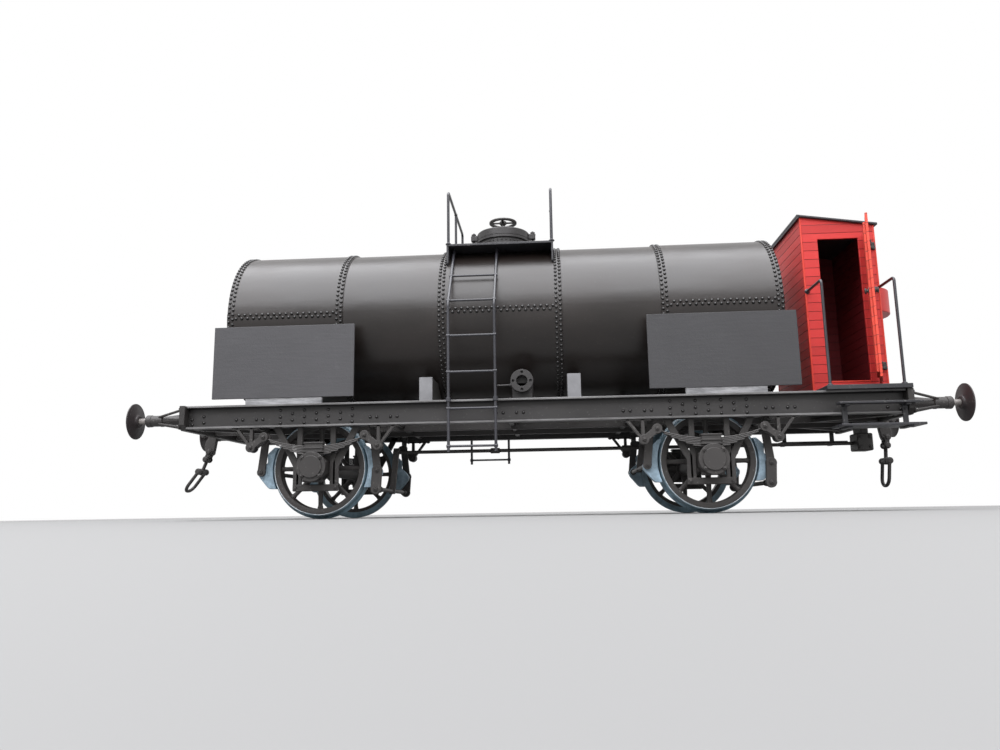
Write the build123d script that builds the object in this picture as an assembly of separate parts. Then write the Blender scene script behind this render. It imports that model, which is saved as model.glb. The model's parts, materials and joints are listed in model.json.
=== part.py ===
from build123d import *
import os
from math import asin, cos, hypot, radians, sin, sqrt

# Riveted two-axle tank car with a brakeman's cab: a display model at 1:25, in millimetres.
# X runs along the car, with +X towards the cab. Y runs across it, and -Y is the near side,
# where the cab door stands open. Z is up. The origin is on the floor, under the frame's middle.

# Running gear
AXLE_X = (-91.8, 69.7)
TREAD_R = 20.0
FLANGE_R = 21.1
AXLE_Z = FLANGE_R
TYRE_FACE_Y = 32.7
TREAD_END_Y = 28.5
TYRE_BACK_Y = 27.2
RIM_INNER_R = 16.8
SPOKE_COUNT = 8
SPOKE_ROOT = (1.8, 2.6)
SPOKE_TIP = (1.1, 1.8)
HUB_R = 3.9
HUB_BACK_Y = 27.6
HUB_FACE_Y = 33.2
SEAT_R = 2.4
AXLE_R = 2.8
JOURNAL_R = 2.0
JOURNAL_END_Y = 43.0
BEARING_PLAY = 0.05

# Underframe
FRAME_END_X = 149.0
SOLE_TOP_Z = 47.6
SOLE_DEPTH = 9.7
SOLE_BOTTOM_Z = SOLE_TOP_Z - SOLE_DEPTH
SOLE_EDGE_Y = 42.0
SOLE_FLANGE = 3.7
PLATE = 0.9
WEB_BACK_Y = SOLE_EDGE_Y - SOLE_FLANGE
WEB_FACE_Y = WEB_BACK_Y + PLATE
HEAD_T = 2.4
HEAD_CUT = 2.4
HOOK_HOLE_HALF = (1.3, 1.6)
SILL_Y = 11.0
SILL_T = 1.6

# Springs and axle guards
SPRING_Y = 40.5
SPRING_W = 2.4
EYE_X = 21.2
EYE_Z = 33.8
PIVOT_X = 26.5
PIVOT_Z = 29.6
SPRING_SAG = 3.9
EYE_R = 1.25
EYE_PIN_R = 0.6
LINK_R = 1.75
LINK_T = 0.7
BOX_TOP_Z = AXLE_Z + 4.2
# Where an axle box's body starts and ends, and where its barrel and its cover end
BOX_Y = (35.4, 42.6, 44.6, 45.8)
SPRING_LEAF_T = 0.62
GUARD_Y = 37.2
GUARD_T = 1.0
TIE_Z = 12.8
TIE_HALF_H = 1.4
JAW_FOOT_Z = 13.0

# Brakes, with places as (out from the axle's line, height)
BLOCK_GAP = 0.45
BLOCK_Y = (29.0, 32.2)
HANGER_Y = 32.9
HANGER_T = 1.1
HANGER_TOP = (23.2, SOLE_BOTTOM_Z - 4.0)
SHOE_PIN = (24.8, 19.8)
BEAM_FOOT = (24.3, 12.0)
BEAM_R = 0.9
PULL_ROD_Y = 1.4
PULL_ROD_Z = 29.6
PULL_ROD_R = 0.8

# Buffers and draw gear
BUFFER_Y = 35.0
BUFFER_Z = 42.4
BUFFER_HEAD_R = 7.65
BUFFER_FACE_X = 172.7
COLLAR_X = (159.4, 166.8)
COLLAR_R = 2.6
SHAFT_R = 1.3
# How far a guide's straps stand off its middle at the headstock, along Y and Z
STRAP_FOOT = (6.6, 3.6)
HOOK_Z = 41.0

# Tank
TANK_Z = 87.0
TANK_R = 35.6
SEAM_X = (-131.9, -84.2, -39.7, 10.4, 55.2, 102.7)
TANK_LIP = 1.6
LAP = 0.4
DISH = 5.5
TANK_MID_X = (SEAM_X[0] + SEAM_X[-1]) / 2
SADDLE_X = (-120.0, -45.9, 16.0, 91.0)
SADDLE_TOP_Z = 58.0
SADDLE_HALF_Y = 37.6
SADDLE_T = 5.6

# Manhole and top gear
NECK_R = 11.6
LID_R = 12.4
NECK_TOP_Z = 129.0
LID_TOP_Z = 132.6
WHEEL_Z = 138.6
WHEEL_R = 6.6
WHEEL_RIM_W = 1.75
DECK_X = (-38.2, 9.0)
DECK_EDGE_Y = 25.4
DECK_FOOT_Y = 27.6
DECK_Z = 118.2
DECK_T = 1.0
RAIL_TOP_Z = 143.8
RAIL_X = (-37.4, 8.4)
ROD_R = 0.62

# Ladders
LADDER_X = (-35.4, -16.2)
LADDER_Y = 45.2
LADDER_BOTTOM_Z = 26.0
LADDER_BEND_Z = 87.5
LADDER_HEAD = (22.73, 117.84)
RUNG_Z = (28.2, 43.5, 58.6, 73.8)

# Sign boards
SIGN_Y = 41.0
SIGN_T = 1.0
SIGN_HALF_W = 30.2
SIGN_OFFSET_X = 91.1
SIGN_Z = (50.2, 81.0)

# Bottom outlet
OUTLET_X = -5.6
OUTLET_Z = 55.4
OUTLET_FACE_Y = 38.4
OUTLET_PIPE_R = 3.2
OUTLET_FLANGE_R = 4.8
OUTLET_FLANGE_T = 1.4
OUTLET_BORE_R = 2.3
OUTLET_HOLE_R = 0.5
OUTLET_HOLE_CIRCLE = 3.6

# Cab
CAB_X = (116.4, 147.4)
CAB_HALF_Y = 25.0
WALL_T = 1.1
FLOOR_X = (115.6, 148.6)
FLOOR_HALF_Y = 44.4
FLOOR_T = 1.8
CAB_Z = SOLE_TOP_Z + FLOOR_T
EAVES_Z = (126.4, 121.8)
ROOF_T = 0.9
ROOF_OVER = 1.3
DOOR_X = (123.3, 140.4)
DOOR_Z = (53.8, 116.2)
DOOR_LEAF_X = (122.3, 143.6)
DOOR_LEAF_Z = (52.0, 119.4)
HANDLE_Z = 88.0
DOOR_LEAF_T = 1.0
HINGE_X = 144.6
HINGE_Y = 26.4
HINGE_Z = (59.6, 112.1)
HINGE_PIN_R = 0.45
HINGE_PLAY = 0.06
NEAR_DOOR_OPEN = 69.0
CRANK_BOX_R = 13.0
CRANK_BOX_Z = (86.6, 97.6)
GRAB_X = (117.2, 145.9)
GRAB_Y = 43.0
GRAB_TOP_Z = 93.0

# Steps under the cab, each as (inner y, outer y, height of its underside)
STEP_X = (118.6, 150.6)
HANGER_X = (122.0, 145.2)
UPPER_STEP = (43.6, 47.6, 41.4)
LOWER_STEP = (36.0, 48.4, 32.6)
STEP_T = 1.0
STEP_RIB = 0.7


def box(x, y, z):
    """A block between two X, two Y and two Z values."""
    size = (abs(x[1] - x[0]), abs(y[1] - y[0]), abs(z[1] - z[0]))
    middle = ((x[0] + x[1]) / 2, (y[0] + y[1]) / 2, (z[0] + z[1]) / 2)
    return Pos(*middle) * Box(*size)


def rod(start, end, radius):
    """A round bar between two points."""
    a = Vector(*start)
    b = Vector(*end)
    return extrude(Plane(origin=a, z_dir=b - a) * Circle(radius), amount=(b - a).length)


def bent_rod(points, bend, radius):
    """A round bar along straight runs, with its corners bent to one radius."""
    path = FilletPolyline(*points, radius=bend)
    start = Plane(origin=path @ 0, z_dir=path % 0)
    return sweep(start * Circle(radius), path=path)


def plate_xz(points, y_from, y_to):
    """A flat plate: an outline of (x, z) points, thick from one Y to another."""
    low = min(y_from, y_to)
    face = Plane.XZ.offset(-low - abs(y_to - y_from)) * make_face(Polyline(*points, close=True))
    return extrude(face, amount=abs(y_to - y_from))


def plate_yz(points, x_from, x_to):
    """A flat plate: an outline of (y, z) points, thick from one X to another."""
    face = Plane.YZ.offset(min(x_from, x_to)) * make_face(Polyline(*points, close=True))
    return extrude(face, amount=abs(x_to - x_from))


def both_sides(shape):
    """The shape and its mirror image on the other side of the car."""
    return [shape, mirror(shape, about=Plane.XZ)]


def group(solids):
    """Separate solids of one piece."""
    flat = []
    for item in solids:
        flat.extend(item.solids())
    return Compound(flat)


def solebar(side):
    """A channel with its flanges turned outwards."""
    x = (-FRAME_END_X + HEAD_T, FRAME_END_X - HEAD_T)
    flange_y = (WEB_BACK_Y, SOLE_EDGE_Y)
    bar = box(x, (WEB_BACK_Y, WEB_FACE_Y), (SOLE_BOTTOM_Z, SOLE_TOP_Z))
    bar += box(x, flange_y, (SOLE_TOP_Z - PLATE, SOLE_TOP_Z))
    bar += box(x, flange_y, (SOLE_BOTTOM_Z, SOLE_BOTTOM_Z + PLATE))
    return bar if side > 0 else mirror(bar, about=Plane.XZ)


def headstock(end):
    """The end beam, with its ends cut on the slant and a hole for the draw hook's shank."""
    low = SOLE_BOTTOM_Z - 0.6
    reach = SOLE_EDGE_Y + 1.4
    inset = reach - HEAD_CUT
    outline = [(-reach, SOLE_TOP_Z), (-reach, low + HEAD_CUT), (-inset, low)]
    outline += [(inset, low), (reach, low + HEAD_CUT), (reach, SOLE_TOP_Z)]
    inner = end * (FRAME_END_X - HEAD_T)
    outer = end * FRAME_END_X
    beam = plate_yz(outline, inner, outer)
    half_y, half_z = HOOK_HOLE_HALF
    return beam - box((inner - end, outer + end), (-half_y, half_y), (HOOK_Z - half_z, HOOK_Z + half_z))


def inner_sills():
    """Two long sills between the headstocks."""
    reach = FRAME_END_X - HEAD_T
    sill = box((-reach, reach), (SILL_Y, SILL_Y + SILL_T), (SOLE_BOTTOM_Z, SOLE_TOP_Z))
    return group(both_sides(sill))


CROSS_BEARER_X = (-122.0, -61.0, -11.0, 39.0, 100.0)
CROSS_BEARER_DEPTH = 8.4
CROSS_BEARER_HALF_T = 1.0
BRACE_T = 1.2
# x and y of an end brace's four corners, x as the distance from the headstock's back
BRACE_CORNERS = ((0, 31.5), (0, 35.5), (-28.6, SILL_Y + SILL_T), (-24.6, SILL_Y + SILL_T))


def cross_bearers():
    """Short beams from each solebar to the sill beside it, and from sill to sill."""
    pieces = []
    z = (SOLE_TOP_Z - CROSS_BEARER_DEPTH, SOLE_TOP_Z)
    for middle in CROSS_BEARER_X:
        x = (middle - CROSS_BEARER_HALF_T, middle + CROSS_BEARER_HALF_T)
        pieces += both_sides(box(x, (SILL_Y + SILL_T, WEB_BACK_Y), z))
        pieces.append(box(x, (-SILL_Y, SILL_Y), z))
    return group(pieces)


def diagonals():
    """Flat braces under the end bearers, from the headstocks near the buffers to the sills."""
    pieces = []
    level = Plane.XY.offset(SOLE_TOP_Z - CROSS_BEARER_DEPTH - BRACE_T)
    for end in (-1, 1):
        outline = [(end * (FRAME_END_X - HEAD_T + x), y) for x, y in BRACE_CORNERS]
        face = level * make_face(Polyline(*outline, close=True))
        pieces += both_sides(extrude(face, amount=BRACE_T))
    return group(pieces)


# Slanted leg of an axle guard: out from the axle's line, height
GUARD_LEG = ((19.5, 40.0), (16.5, 40.0), (7.2, 23.0), (7.2, JAW_FOOT_Z), (9.6, JAW_FOOT_Z), (9.6, 21.5))


def axle_guard(x):
    """One W-shaped plate that guides an axle box, closed by a tie bar under it."""
    y = (GUARD_Y, GUARD_Y + GUARD_T)
    plate = box((x - 20.5, x + 20.5), y, (SOLE_BOTTOM_Z, SOLE_TOP_Z - 1.6))
    plate += box((x - 9.6, x + 9.6), (y[0] - 0.3, y[1] + 0.3), (TIE_Z - TIE_HALF_H, TIE_Z + TIE_HALF_H))
    for s in (-1, 1):
        plate += plate_xz([(x + s * out, z) for out, z in GUARD_LEG], *y)
        plate += box((x + s * 5.6, x + s * 7.6), y, (JAW_FOOT_Z, GUARD_LEG[0][1]))
    return plate


def axle_box(x):
    """The bearing box between the guard's jaws, with a round cover and a blind bore."""
    back_y, body_y, barrel_y, cover_y = BOX_Y
    body = box((x - 5.4, x + 5.4), (back_y, body_y), (AXLE_Z - 5.6, BOX_TOP_Z))
    body += rod((x, body_y, AXLE_Z), (x, barrel_y, AXLE_Z), 5.9)
    body += rod((x, barrel_y, AXLE_Z), (x, cover_y, AXLE_Z), 6.15)
    return body - rod((x, back_y - 1, AXLE_Z), (x, JOURNAL_END_Y + 0.3, AXLE_Z), JOURNAL_R + BEARING_PLAY)


# Half lengths of the leaves under the one with the eyes
LEAF_HALVES = (18.4, 15.2, 12.0, 9.0, 6.2)


def leaf_spring(x):
    """A sagging pile of leaves with rolled eyes, held by a buckle over the axle box."""
    radius = (EYE_X**2 + SPRING_SAG**2) / (2 * SPRING_SAG)
    top_z = EYE_Z - SPRING_SAG
    centre_z = top_z + radius

    def at(r, half):
        angle = asin(half / r)
        return (x + r * sin(angle), centre_z - r * cos(angle))

    def arc(r, half_from, half_to):
        return ThreePointArc(at(r, half_from), at(r, (half_from + half_to) / 2), at(r, half_to))

    edges = [arc(radius, -EYE_X, EYE_X)]
    layer = radius
    half = EYE_X
    for next_half in LEAF_HALVES:
        layer += SPRING_LEAF_T
        for s in (-1, 1):
            edges.append(Line(at(layer - SPRING_LEAF_T, s * half), at(layer, s * half)))
            edges.append(arc(layer, s * half, s * next_half))
        half = next_half
    layer += SPRING_LEAF_T
    for s in (-1, 1):
        edges.append(Line(at(layer - SPRING_LEAF_T, s * half), at(layer, s * half)))
    edges.append(arc(layer, -half, half))
    face = Plane.XZ.offset(-SPRING_Y - SPRING_W / 2) * make_face(edges)
    pile = extrude(face, amount=SPRING_W)
    for s in (-1, 1):
        eye_x = x + s * EYE_X
        ends = ((eye_x, SPRING_Y - SPRING_W / 2, EYE_Z), (eye_x, SPRING_Y + SPRING_W / 2, EYE_Z))
        pile += rod(*ends, EYE_R)
        pile -= rod(*ends, EYE_PIN_R)
    buckle_y = (SPRING_Y - 1.9, SPRING_Y + 1.9)
    pile += box((x - 3.4, x + 3.4), buckle_y, (BOX_TOP_Z, top_z))
    return pile + box((x - 4.2, x + 4.2), buckle_y, (top_z - 0.5, top_z + 1.5))


# Spring hanger, out from the pivot and away from the axle: the outer leg, the inner leg, the foot
HANGER_LEGS = (
    ((5.9, SOLE_BOTTOM_Z), (7.9, SOLE_BOTTOM_Z), (1.2, PIVOT_Z), (-0.6, PIVOT_Z - 0.8)),
    ((-0.4, SOLE_BOTTOM_Z), (1.4, SOLE_BOTTOM_Z), (1.4, PIVOT_Z), (-0.8, PIVOT_Z)),
    ((-3.2, SOLE_BOTTOM_Z), (8.8, SOLE_BOTTOM_Z), (8.8, SOLE_BOTTOM_Z - 0.7), (-3.2, SOLE_BOTTOM_Z - 0.7)),
)


def spring_hanger(x, s):
    """A two-legged bracket under the solebar, with the links that carry the spring's eye."""
    pivot = (x + s * PIVOT_X, PIVOT_Z)
    eye = (x + s * EYE_X, EYE_Z)
    y = (SPRING_Y - 0.9, SPRING_Y + 0.9)
    piece = rod((pivot[0], y[0], PIVOT_Z), (pivot[0], y[1], PIVOT_Z), 1.9)
    for outline in HANGER_LEGS:
        piece += plate_xz([(pivot[0] + s * out, z) for out, z in outline], *y)
    along = Vector(eye[0] - pivot[0], 0, eye[1] - pivot[1]).normalized()
    side = Vector(-along.Z, 0, along.X)
    corners = []
    for (px, pz), sign in ((pivot, 1), (eye, 1), (eye, -1), (pivot, -1)):
        corners.append((px + sign * side.X, pz + sign * side.Z))
    for link_y in (SPRING_Y - 1.5 - LINK_T, SPRING_Y + 1.5):
        piece += plate_xz(corners, link_y, link_y + LINK_T)
        for px, pz in (pivot, eye):
            piece += rod((px, link_y, pz), (px, link_y + LINK_T, pz), LINK_R)
    for px, pz in (pivot, eye):
        piece += rod((px, SPRING_Y - 2.5, pz), (px, SPRING_Y + 2.5, pz), EYE_PIN_R)
    return piece


def at_each_axle(maker):
    """The near and far copies of a piece over both axles."""
    pieces = []
    for x in AXLE_X:
        pieces += both_sides(maker(x))
    return group(pieces)


# Section of a tyre on the +Y side: radius, y
TYRE_PROFILE = (
    (RIM_INNER_R, TYRE_BACK_Y),
    (FLANGE_R - 0.3, TYRE_BACK_Y),
    (FLANGE_R, TYRE_BACK_Y + 0.4),
    (FLANGE_R, TREAD_END_Y - 0.3),
    (TREAD_R, TREAD_END_Y + 0.4),
    (TREAD_R - 0.1, TYRE_FACE_Y - 0.3),
    (TREAD_R - 0.4, TYRE_FACE_Y),
    (RIM_INNER_R, TYRE_FACE_Y),
)


def wheel():
    """A spoked wheel for the +Y side, centred on the axle's line at X 0."""
    shape = revolve(make_face(Polyline(*TYRE_PROFILE, close=True)), axis=Axis.Y)
    shape += rod((0, HUB_BACK_Y, 0), (0, HUB_FACE_Y, 0), HUB_R)
    spoke_y = (HUB_BACK_Y + HUB_FACE_Y) / 2 - 0.2
    root = Plane(origin=(0, spoke_y, HUB_R - 0.8)) * Rectangle(*SPOKE_ROOT)
    tip = Plane(origin=(0, spoke_y, RIM_INNER_R + 0.6)) * Rectangle(*SPOKE_TIP)
    spoke = loft([root, tip])
    for i in range(SPOKE_COUNT):
        shape += Rot(0, i * 360 / SPOKE_COUNT, 0) * spoke
    return shape - rod((0, HUB_BACK_Y - 1, 0), (0, HUB_FACE_Y + 1, 0), SEAT_R)


def axle(x):
    """A stepped axle: the middle, the wheel seats and the journals."""
    shape = rod((0, -HUB_BACK_Y, 0), (0, HUB_BACK_Y, 0), AXLE_R)
    for s in (-1, 1):
        shape += rod((0, s * HUB_BACK_Y, 0), (0, s * HUB_FACE_Y, 0), SEAT_R)
        shape += rod((0, s * HUB_FACE_Y, 0), (0, s * JOURNAL_END_Y, 0), JOURNAL_R)
    return Pos(x, 0, AXLE_Z) * shape


def wheels(x):
    """The two spoked wheels of one axle."""
    return group([Pos(x, 0, AXLE_Z) * half for half in both_sides(wheel())])


# Back of a brake shoe from its top to its foot: out from the axle's line, height
SHOE_BACK = ((22.5, 28.3), (22.6, 23.7), (25.9, 22.0), (26.3, 18.4), (22.0, 12.2))


def brake_block(x, s):
    """A shoe that hugs the tread on the side s of the axle, with a lug for its pin."""
    inner = TREAD_R + BLOCK_GAP
    low = radians(-26)
    high = radians(23)

    def at(angle):
        return (x + s * inner * cos(angle), AXLE_Z + inner * sin(angle))

    back = [(x + s * out, z) for out, z in SHOE_BACK]
    edges = [ThreePointArc(at(low), at((low + high) / 2), at(high)), Polyline(at(high), *back, at(low))]
    face = Plane.XZ.offset(-BLOCK_Y[1]) * make_face(edges)
    return extrude(face, amount=BLOCK_Y[1] - BLOCK_Y[0])


def brake_hanger(x, s):
    """A flat bar outside the wheel, from a bracket on the frame to the shoe's pin, and on to a beam."""
    joints = [(*HANGER_TOP, 1.5), (*SHOE_PIN, 1.5)]
    if s > 0:
        joints.append((*BEAM_FOOT, 2.0))
    outer = HANGER_Y + HANGER_T
    places = [(x + s * out, z, half) for out, z, half in joints]
    bar = rod((places[1][0], BLOCK_Y[1], places[1][1]), (places[1][0], HANGER_Y, places[1][1]), 0.8)
    for (ax, az, _), (bx, bz, half) in zip(places, places[1:]):
        bar += plate_xz([(ax - half, az), (ax + half, az), (bx + half, bz), (bx - half, bz)], HANGER_Y, outer)
    for px, pz, half in places:
        bar += rod((px, HANGER_Y, pz), (px, outer, pz), half + 0.2)
        bar += rod((px, outer, pz), (px, outer + 0.6, pz), 0.8)
    top_x, top_z, _ = places[0]
    bracket = box((top_x - 1.4, top_x + 1.4), (outer, WEB_BACK_Y), (SOLE_BOTTOM_Z - 0.8, SOLE_BOTTOM_Z + 2.0))
    drop = box((top_x - 1.2, top_x + 1.2), (outer, outer + 1.0), (top_z, SOLE_BOTTOM_Z))
    return bar + drop + bracket


def brake_beams():
    """Cross beams between the hangers or the shoes, and a lever on each beam between the axles."""
    pieces = []
    for x in AXLE_X:
        for s in (-1, 1):
            out, z = BEAM_FOOT if s > 0 else SHOE_PIN
            reach = HANGER_Y if s > 0 else BLOCK_Y[0]
            foot_x = x + s * out
            beam = rod((foot_x, -reach, z), (foot_x, reach, z), BEAM_R)
            if s * x < 0:
                head_z = PULL_ROD_Z + 1.9
                lever = [(foot_x - 1.3, z - 1.4), (foot_x + 1.3, z - 1.4)]
                lever += [(foot_x + 3.4, head_z), (foot_x + 0.6, head_z)]
                beam += plate_xz(lever, PULL_ROD_R - PULL_ROD_Y, PULL_ROD_Y - PULL_ROD_R)
            pieces.append(beam)
    return group(pieces)


def pull_rod():
    """The rod from the levers to the screw under the cab."""
    start = AXLE_X[0] + BEAM_FOOT[0]
    return rod((start, PULL_ROD_Y, PULL_ROD_Z), (CAB_X[1] - 7.4, PULL_ROD_Y, PULL_ROD_Z), PULL_ROD_R)


def tank_barrel():
    """Five lapped plate rings, the odd ones outside the even ones, with dished ends."""
    points = [(SEAM_X[0] - TANK_LIP - DISH, 0)]
    left = SEAM_X[0] - TANK_LIP
    right = SEAM_X[-1] + TANK_LIP
    outside = TANK_R
    inside = TANK_R - LAP
    profile = [(left, 0), (left, outside)]
    for i in range(1, 5):
        edge = SEAM_X[i] + (TANK_LIP if i % 2 else -TANK_LIP)
        first, second = (outside, inside) if i % 2 else (inside, outside)
        profile += [(edge, first), (edge, second)]
    profile += [(right, outside), (right, 0)]
    barrel = revolve(make_face(Polyline(*profile, close=True)), axis=Axis.X)
    dish_r = TANK_R - 2.0
    sphere_r = (dish_r**2 + DISH**2) / (2 * DISH)
    for end_x, s in ((left, -1), (right, 1)):
        tip = (end_x + s * DISH, 0)
        rim = (end_x, dish_r)
        half = asin(dish_r / sphere_r) / 2
        middle = (tip[0] - s * sphere_r * (1 - cos(half)), sphere_r * sin(half))
        edges = [ThreePointArc(tip, middle, rim), Line(rim, (end_x, 0)), Line((end_x, 0), tip)]
        barrel += revolve(make_face(edges), axis=Axis.X)
    return Pos(0, 0, TANK_Z) * barrel


def saddles():
    """Cross cradles on the solebars, cut to the tank's curve."""
    pieces = []
    half = SADDLE_T / 2
    for x in SADDLE_X:
        beam = box((x - half, x + half), (-SADDLE_HALF_Y, SADDLE_HALF_Y), (SOLE_TOP_Z, SADDLE_TOP_Z))
        pieces.append(beam - rod((x - half - 1, 0, TANK_Z), (x + half + 1, 0, TANK_Z), TANK_R + 0.02))
    return group(pieces)


def manhole_neck():
    """The riveted neck that stands on the crown of the tank."""
    neck = rod((TANK_MID_X, 0, TANK_Z + 30), (TANK_MID_X, 0, NECK_TOP_Z), NECK_R)
    return neck - rod((TANK_MID_X - 20, 0, TANK_Z), (TANK_MID_X + 20, 0, TANK_Z), TANK_R)


def manhole_lid():
    """The clamped cover, with a lug at each end for its swing bolts."""
    lid = rod((TANK_MID_X, 0, NECK_TOP_Z), (TANK_MID_X, 0, LID_TOP_Z), LID_R)
    lid += rod((TANK_MID_X, 0, LID_TOP_Z), (TANK_MID_X, 0, LID_TOP_Z + 0.9), LID_R - 1.5)
    for angle in (0, 180):
        lug = box((LID_R - 1, LID_R + 3.2), (-1.5, 1.5), (NECK_TOP_Z + 0.3, LID_TOP_Z - 0.3))
        lug += rod((LID_R + 1.7, 0, NECK_TOP_Z - 1.8), (LID_R + 1.7, 0, LID_TOP_Z + 1.0), 0.7)
        lid += Pos(TANK_MID_X, 0, 0) * Rot(0, 0, angle) * lug
    return lid


def hand_wheel():
    """The clamping screw's stem and four-spoked wheel."""
    half_t = 0.42
    low = (TANK_MID_X, 0, WHEEL_Z - half_t)
    high = (TANK_MID_X, 0, WHEEL_Z + half_t)
    piece = rod(low, high, WHEEL_R) - rod(low, high, WHEEL_R - WHEEL_RIM_W)
    piece += rod((TANK_MID_X, 0, LID_TOP_Z + 0.9), (TANK_MID_X, 0, WHEEL_Z + 0.9), 1.1)
    arm = WHEEL_R - WHEEL_RIM_W / 2
    for angle in (0, 90):
        spoke = Rot(0, 0, angle) * box((-arm, arm), (-0.6, 0.6), (-0.3, 0.3))
        piece += Pos(TANK_MID_X, 0, WHEEL_Z) * spoke
    return piece


def top_deck(side):
    """The narrow board beside the manhole, on an end bracket at each side of it."""
    root = sqrt(TANK_R**2 - (DECK_Z - TANK_Z) ** 2)
    deck = box(DECK_X, (root + 0.6, DECK_EDGE_Y), (DECK_Z, DECK_Z + DECK_T))
    foot_z = TANK_Z + sqrt(TANK_R**2 - DECK_FOOT_Y**2)
    for x in (DECK_X[0], DECK_X[1] - PLATE):
        outline = [(root + 0.3, DECK_Z), (DECK_EDGE_Y, DECK_Z), (DECK_EDGE_Y, DECK_Z - 2.4)]
        outline += [(DECK_FOOT_Y + 0.9, foot_z + 0.9), (DECK_FOOT_Y, foot_z)]
        bracket = plate_yz(outline, x, x + PLATE)
        deck += bracket - rod((x - 1, 0, TANK_Z), (x + 2, 0, TANK_Z), TANK_R)
    return deck if side > 0 else mirror(deck, about=Plane.XZ)


def guard_rail(x):
    """A bar over two outer posts on the decks and a middle post on the tank's crown."""
    y = DECK_EDGE_Y - 0.8
    base = DECK_Z + DECK_T
    points = [(x, -y, base), (x, -y, RAIL_TOP_Z), (x, y, RAIL_TOP_Z), (x, y, base)]
    rail = bent_rod(points, 1.8, ROD_R)
    return rail + rod((x, 0, TANK_Z + TANK_R), (x, 0, RAIL_TOP_Z), ROD_R)


def ladder(side):
    """Two stiles that lean in to the deck's edge above the tank's widest part, with rungs."""
    piece = None
    for x in LADDER_X:
        points = [(x, LADDER_Y, LADDER_BOTTOM_Z), (x, LADDER_Y, LADDER_BEND_Z), (x, *LADDER_HEAD)]
        stile = bent_rod(points, 4.0, 0.6)
        stay = box((x - 0.6, x + 0.6), (SOLE_EDGE_Y, LADDER_Y), (SOLE_TOP_Z - PLATE, SOLE_TOP_Z))
        piece = stile + stay if piece is None else piece + stile + stay
    places = [(LADDER_Y, z) for z in RUNG_Z]
    lean = ((LADDER_HEAD[0] - LADDER_Y), (LADDER_HEAD[1] - LADDER_BEND_Z))
    places += [(LADDER_Y + t * lean[0], LADDER_BEND_Z + t * lean[1]) for t in (0.05, 0.5)]
    for y, z in places:
        piece += rod((LADDER_X[0], y, z), (LADDER_X[1], y, z), 0.5)
    return piece if side > 0 else mirror(piece, about=Plane.XZ)


def sign_boards(side):
    """Two plain boards on foot strips that stand on the solebar."""
    pieces = []
    for s in (-1, 1):
        middle = TANK_MID_X + s * SIGN_OFFSET_X
        x = (middle - SIGN_HALF_W, middle + SIGN_HALF_W)
        board = box(x, (SIGN_Y, SIGN_Y + SIGN_T), SIGN_Z)
        foot_x = (x[0] + 14.4, x[1] - 13.5)
        pieces.append(board + box(foot_x, (SIGN_Y - 1.0, SIGN_Y + 0.6), (SOLE_TOP_Z, SIGN_Z[0] + 1.0)))
    shape = group(pieces)
    return shape if side > 0 else mirror(shape, about=Plane.XZ)


def outlet(side):
    """A drain pipe from the tank's flank, with a valve body, its spindle and a bolted flange."""
    flank_y = sqrt(TANK_R**2 - (TANK_Z - OUTLET_Z + 2.2) ** 2)
    back_y = OUTLET_FACE_Y - OUTLET_FLANGE_T

    def along(y_from, y_to, radius, x=OUTLET_X, z=OUTLET_Z):
        return rod((x, y_from, z), (x, y_to, z), radius)

    piece = along(flank_y - 3.0, back_y, OUTLET_PIPE_R)
    piece -= rod((OUTLET_X - 9, 0, TANK_Z), (OUTLET_X + 9, 0, TANK_Z), TANK_R)
    piece += along(back_y, OUTLET_FACE_Y, OUTLET_FLANGE_R)
    piece += box((OUTLET_X - 4.4, OUTLET_X + 4.4), (28.0, 34.0), (SOLE_TOP_Z, OUTLET_Z))
    piece += rod((OUTLET_X - 10.6, 33.0, OUTLET_Z - 1.0), (OUTLET_X - 4.4, 33.0, OUTLET_Z - 1.0), 0.4)
    piece -= along(30.0, OUTLET_FACE_Y + 1, OUTLET_BORE_R)
    for angle in (0, 90, 180, 270):
        x = OUTLET_X + OUTLET_HOLE_CIRCLE * cos(radians(angle))
        z = OUTLET_Z + OUTLET_HOLE_CIRCLE * sin(radians(angle))
        piece -= along(back_y - 1, OUTLET_FACE_Y + 1, OUTLET_HOLE_R, x, z)
    return piece if side > 0 else mirror(piece, about=Plane.XZ)


def roof_z(x):
    """Height of the walls' slanting top at a place along the car."""
    t = (x - CAB_X[0]) / (CAB_X[1] - CAB_X[0])
    return EAVES_Z[0] + t * (EAVES_Z[1] - EAVES_Z[0])


def cab_side_wall(side):
    """A side wall with its doorway."""
    outline = [(CAB_X[0], CAB_Z), (CAB_X[1], CAB_Z), (CAB_X[1], EAVES_Z[1]), (CAB_X[0], EAVES_Z[0])]
    wall = plate_xz(outline, CAB_HALF_Y - WALL_T, CAB_HALF_Y)
    wall -= box(DOOR_X, (CAB_HALF_Y - 3, CAB_HALF_Y + 1), DOOR_Z)
    return wall if side > 0 else mirror(wall, about=Plane.XZ)


def cab_end_wall(end):
    """The wall towards the tank, or the one towards the buffers."""
    outer = CAB_X[0] if end < 0 else CAB_X[1]
    inner = outer - end * WALL_T
    low = min(roof_z(outer), roof_z(inner))
    y = CAB_HALF_Y - WALL_T
    return box((inner, outer), (-y, y), (CAB_Z, low))


def cab_roof():
    """A thin flat roof that slopes down towards the buffers."""
    low = CAB_X[0] - ROOF_OVER
    high = CAB_X[1] + ROOF_OVER
    under = [(low, roof_z(low)), (high, roof_z(high))]
    over = [(x, z + ROOF_T) for x, z in reversed(under)]
    y = CAB_HALF_Y + ROOF_OVER
    return plate_xz(under + over, -y, y)


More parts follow.
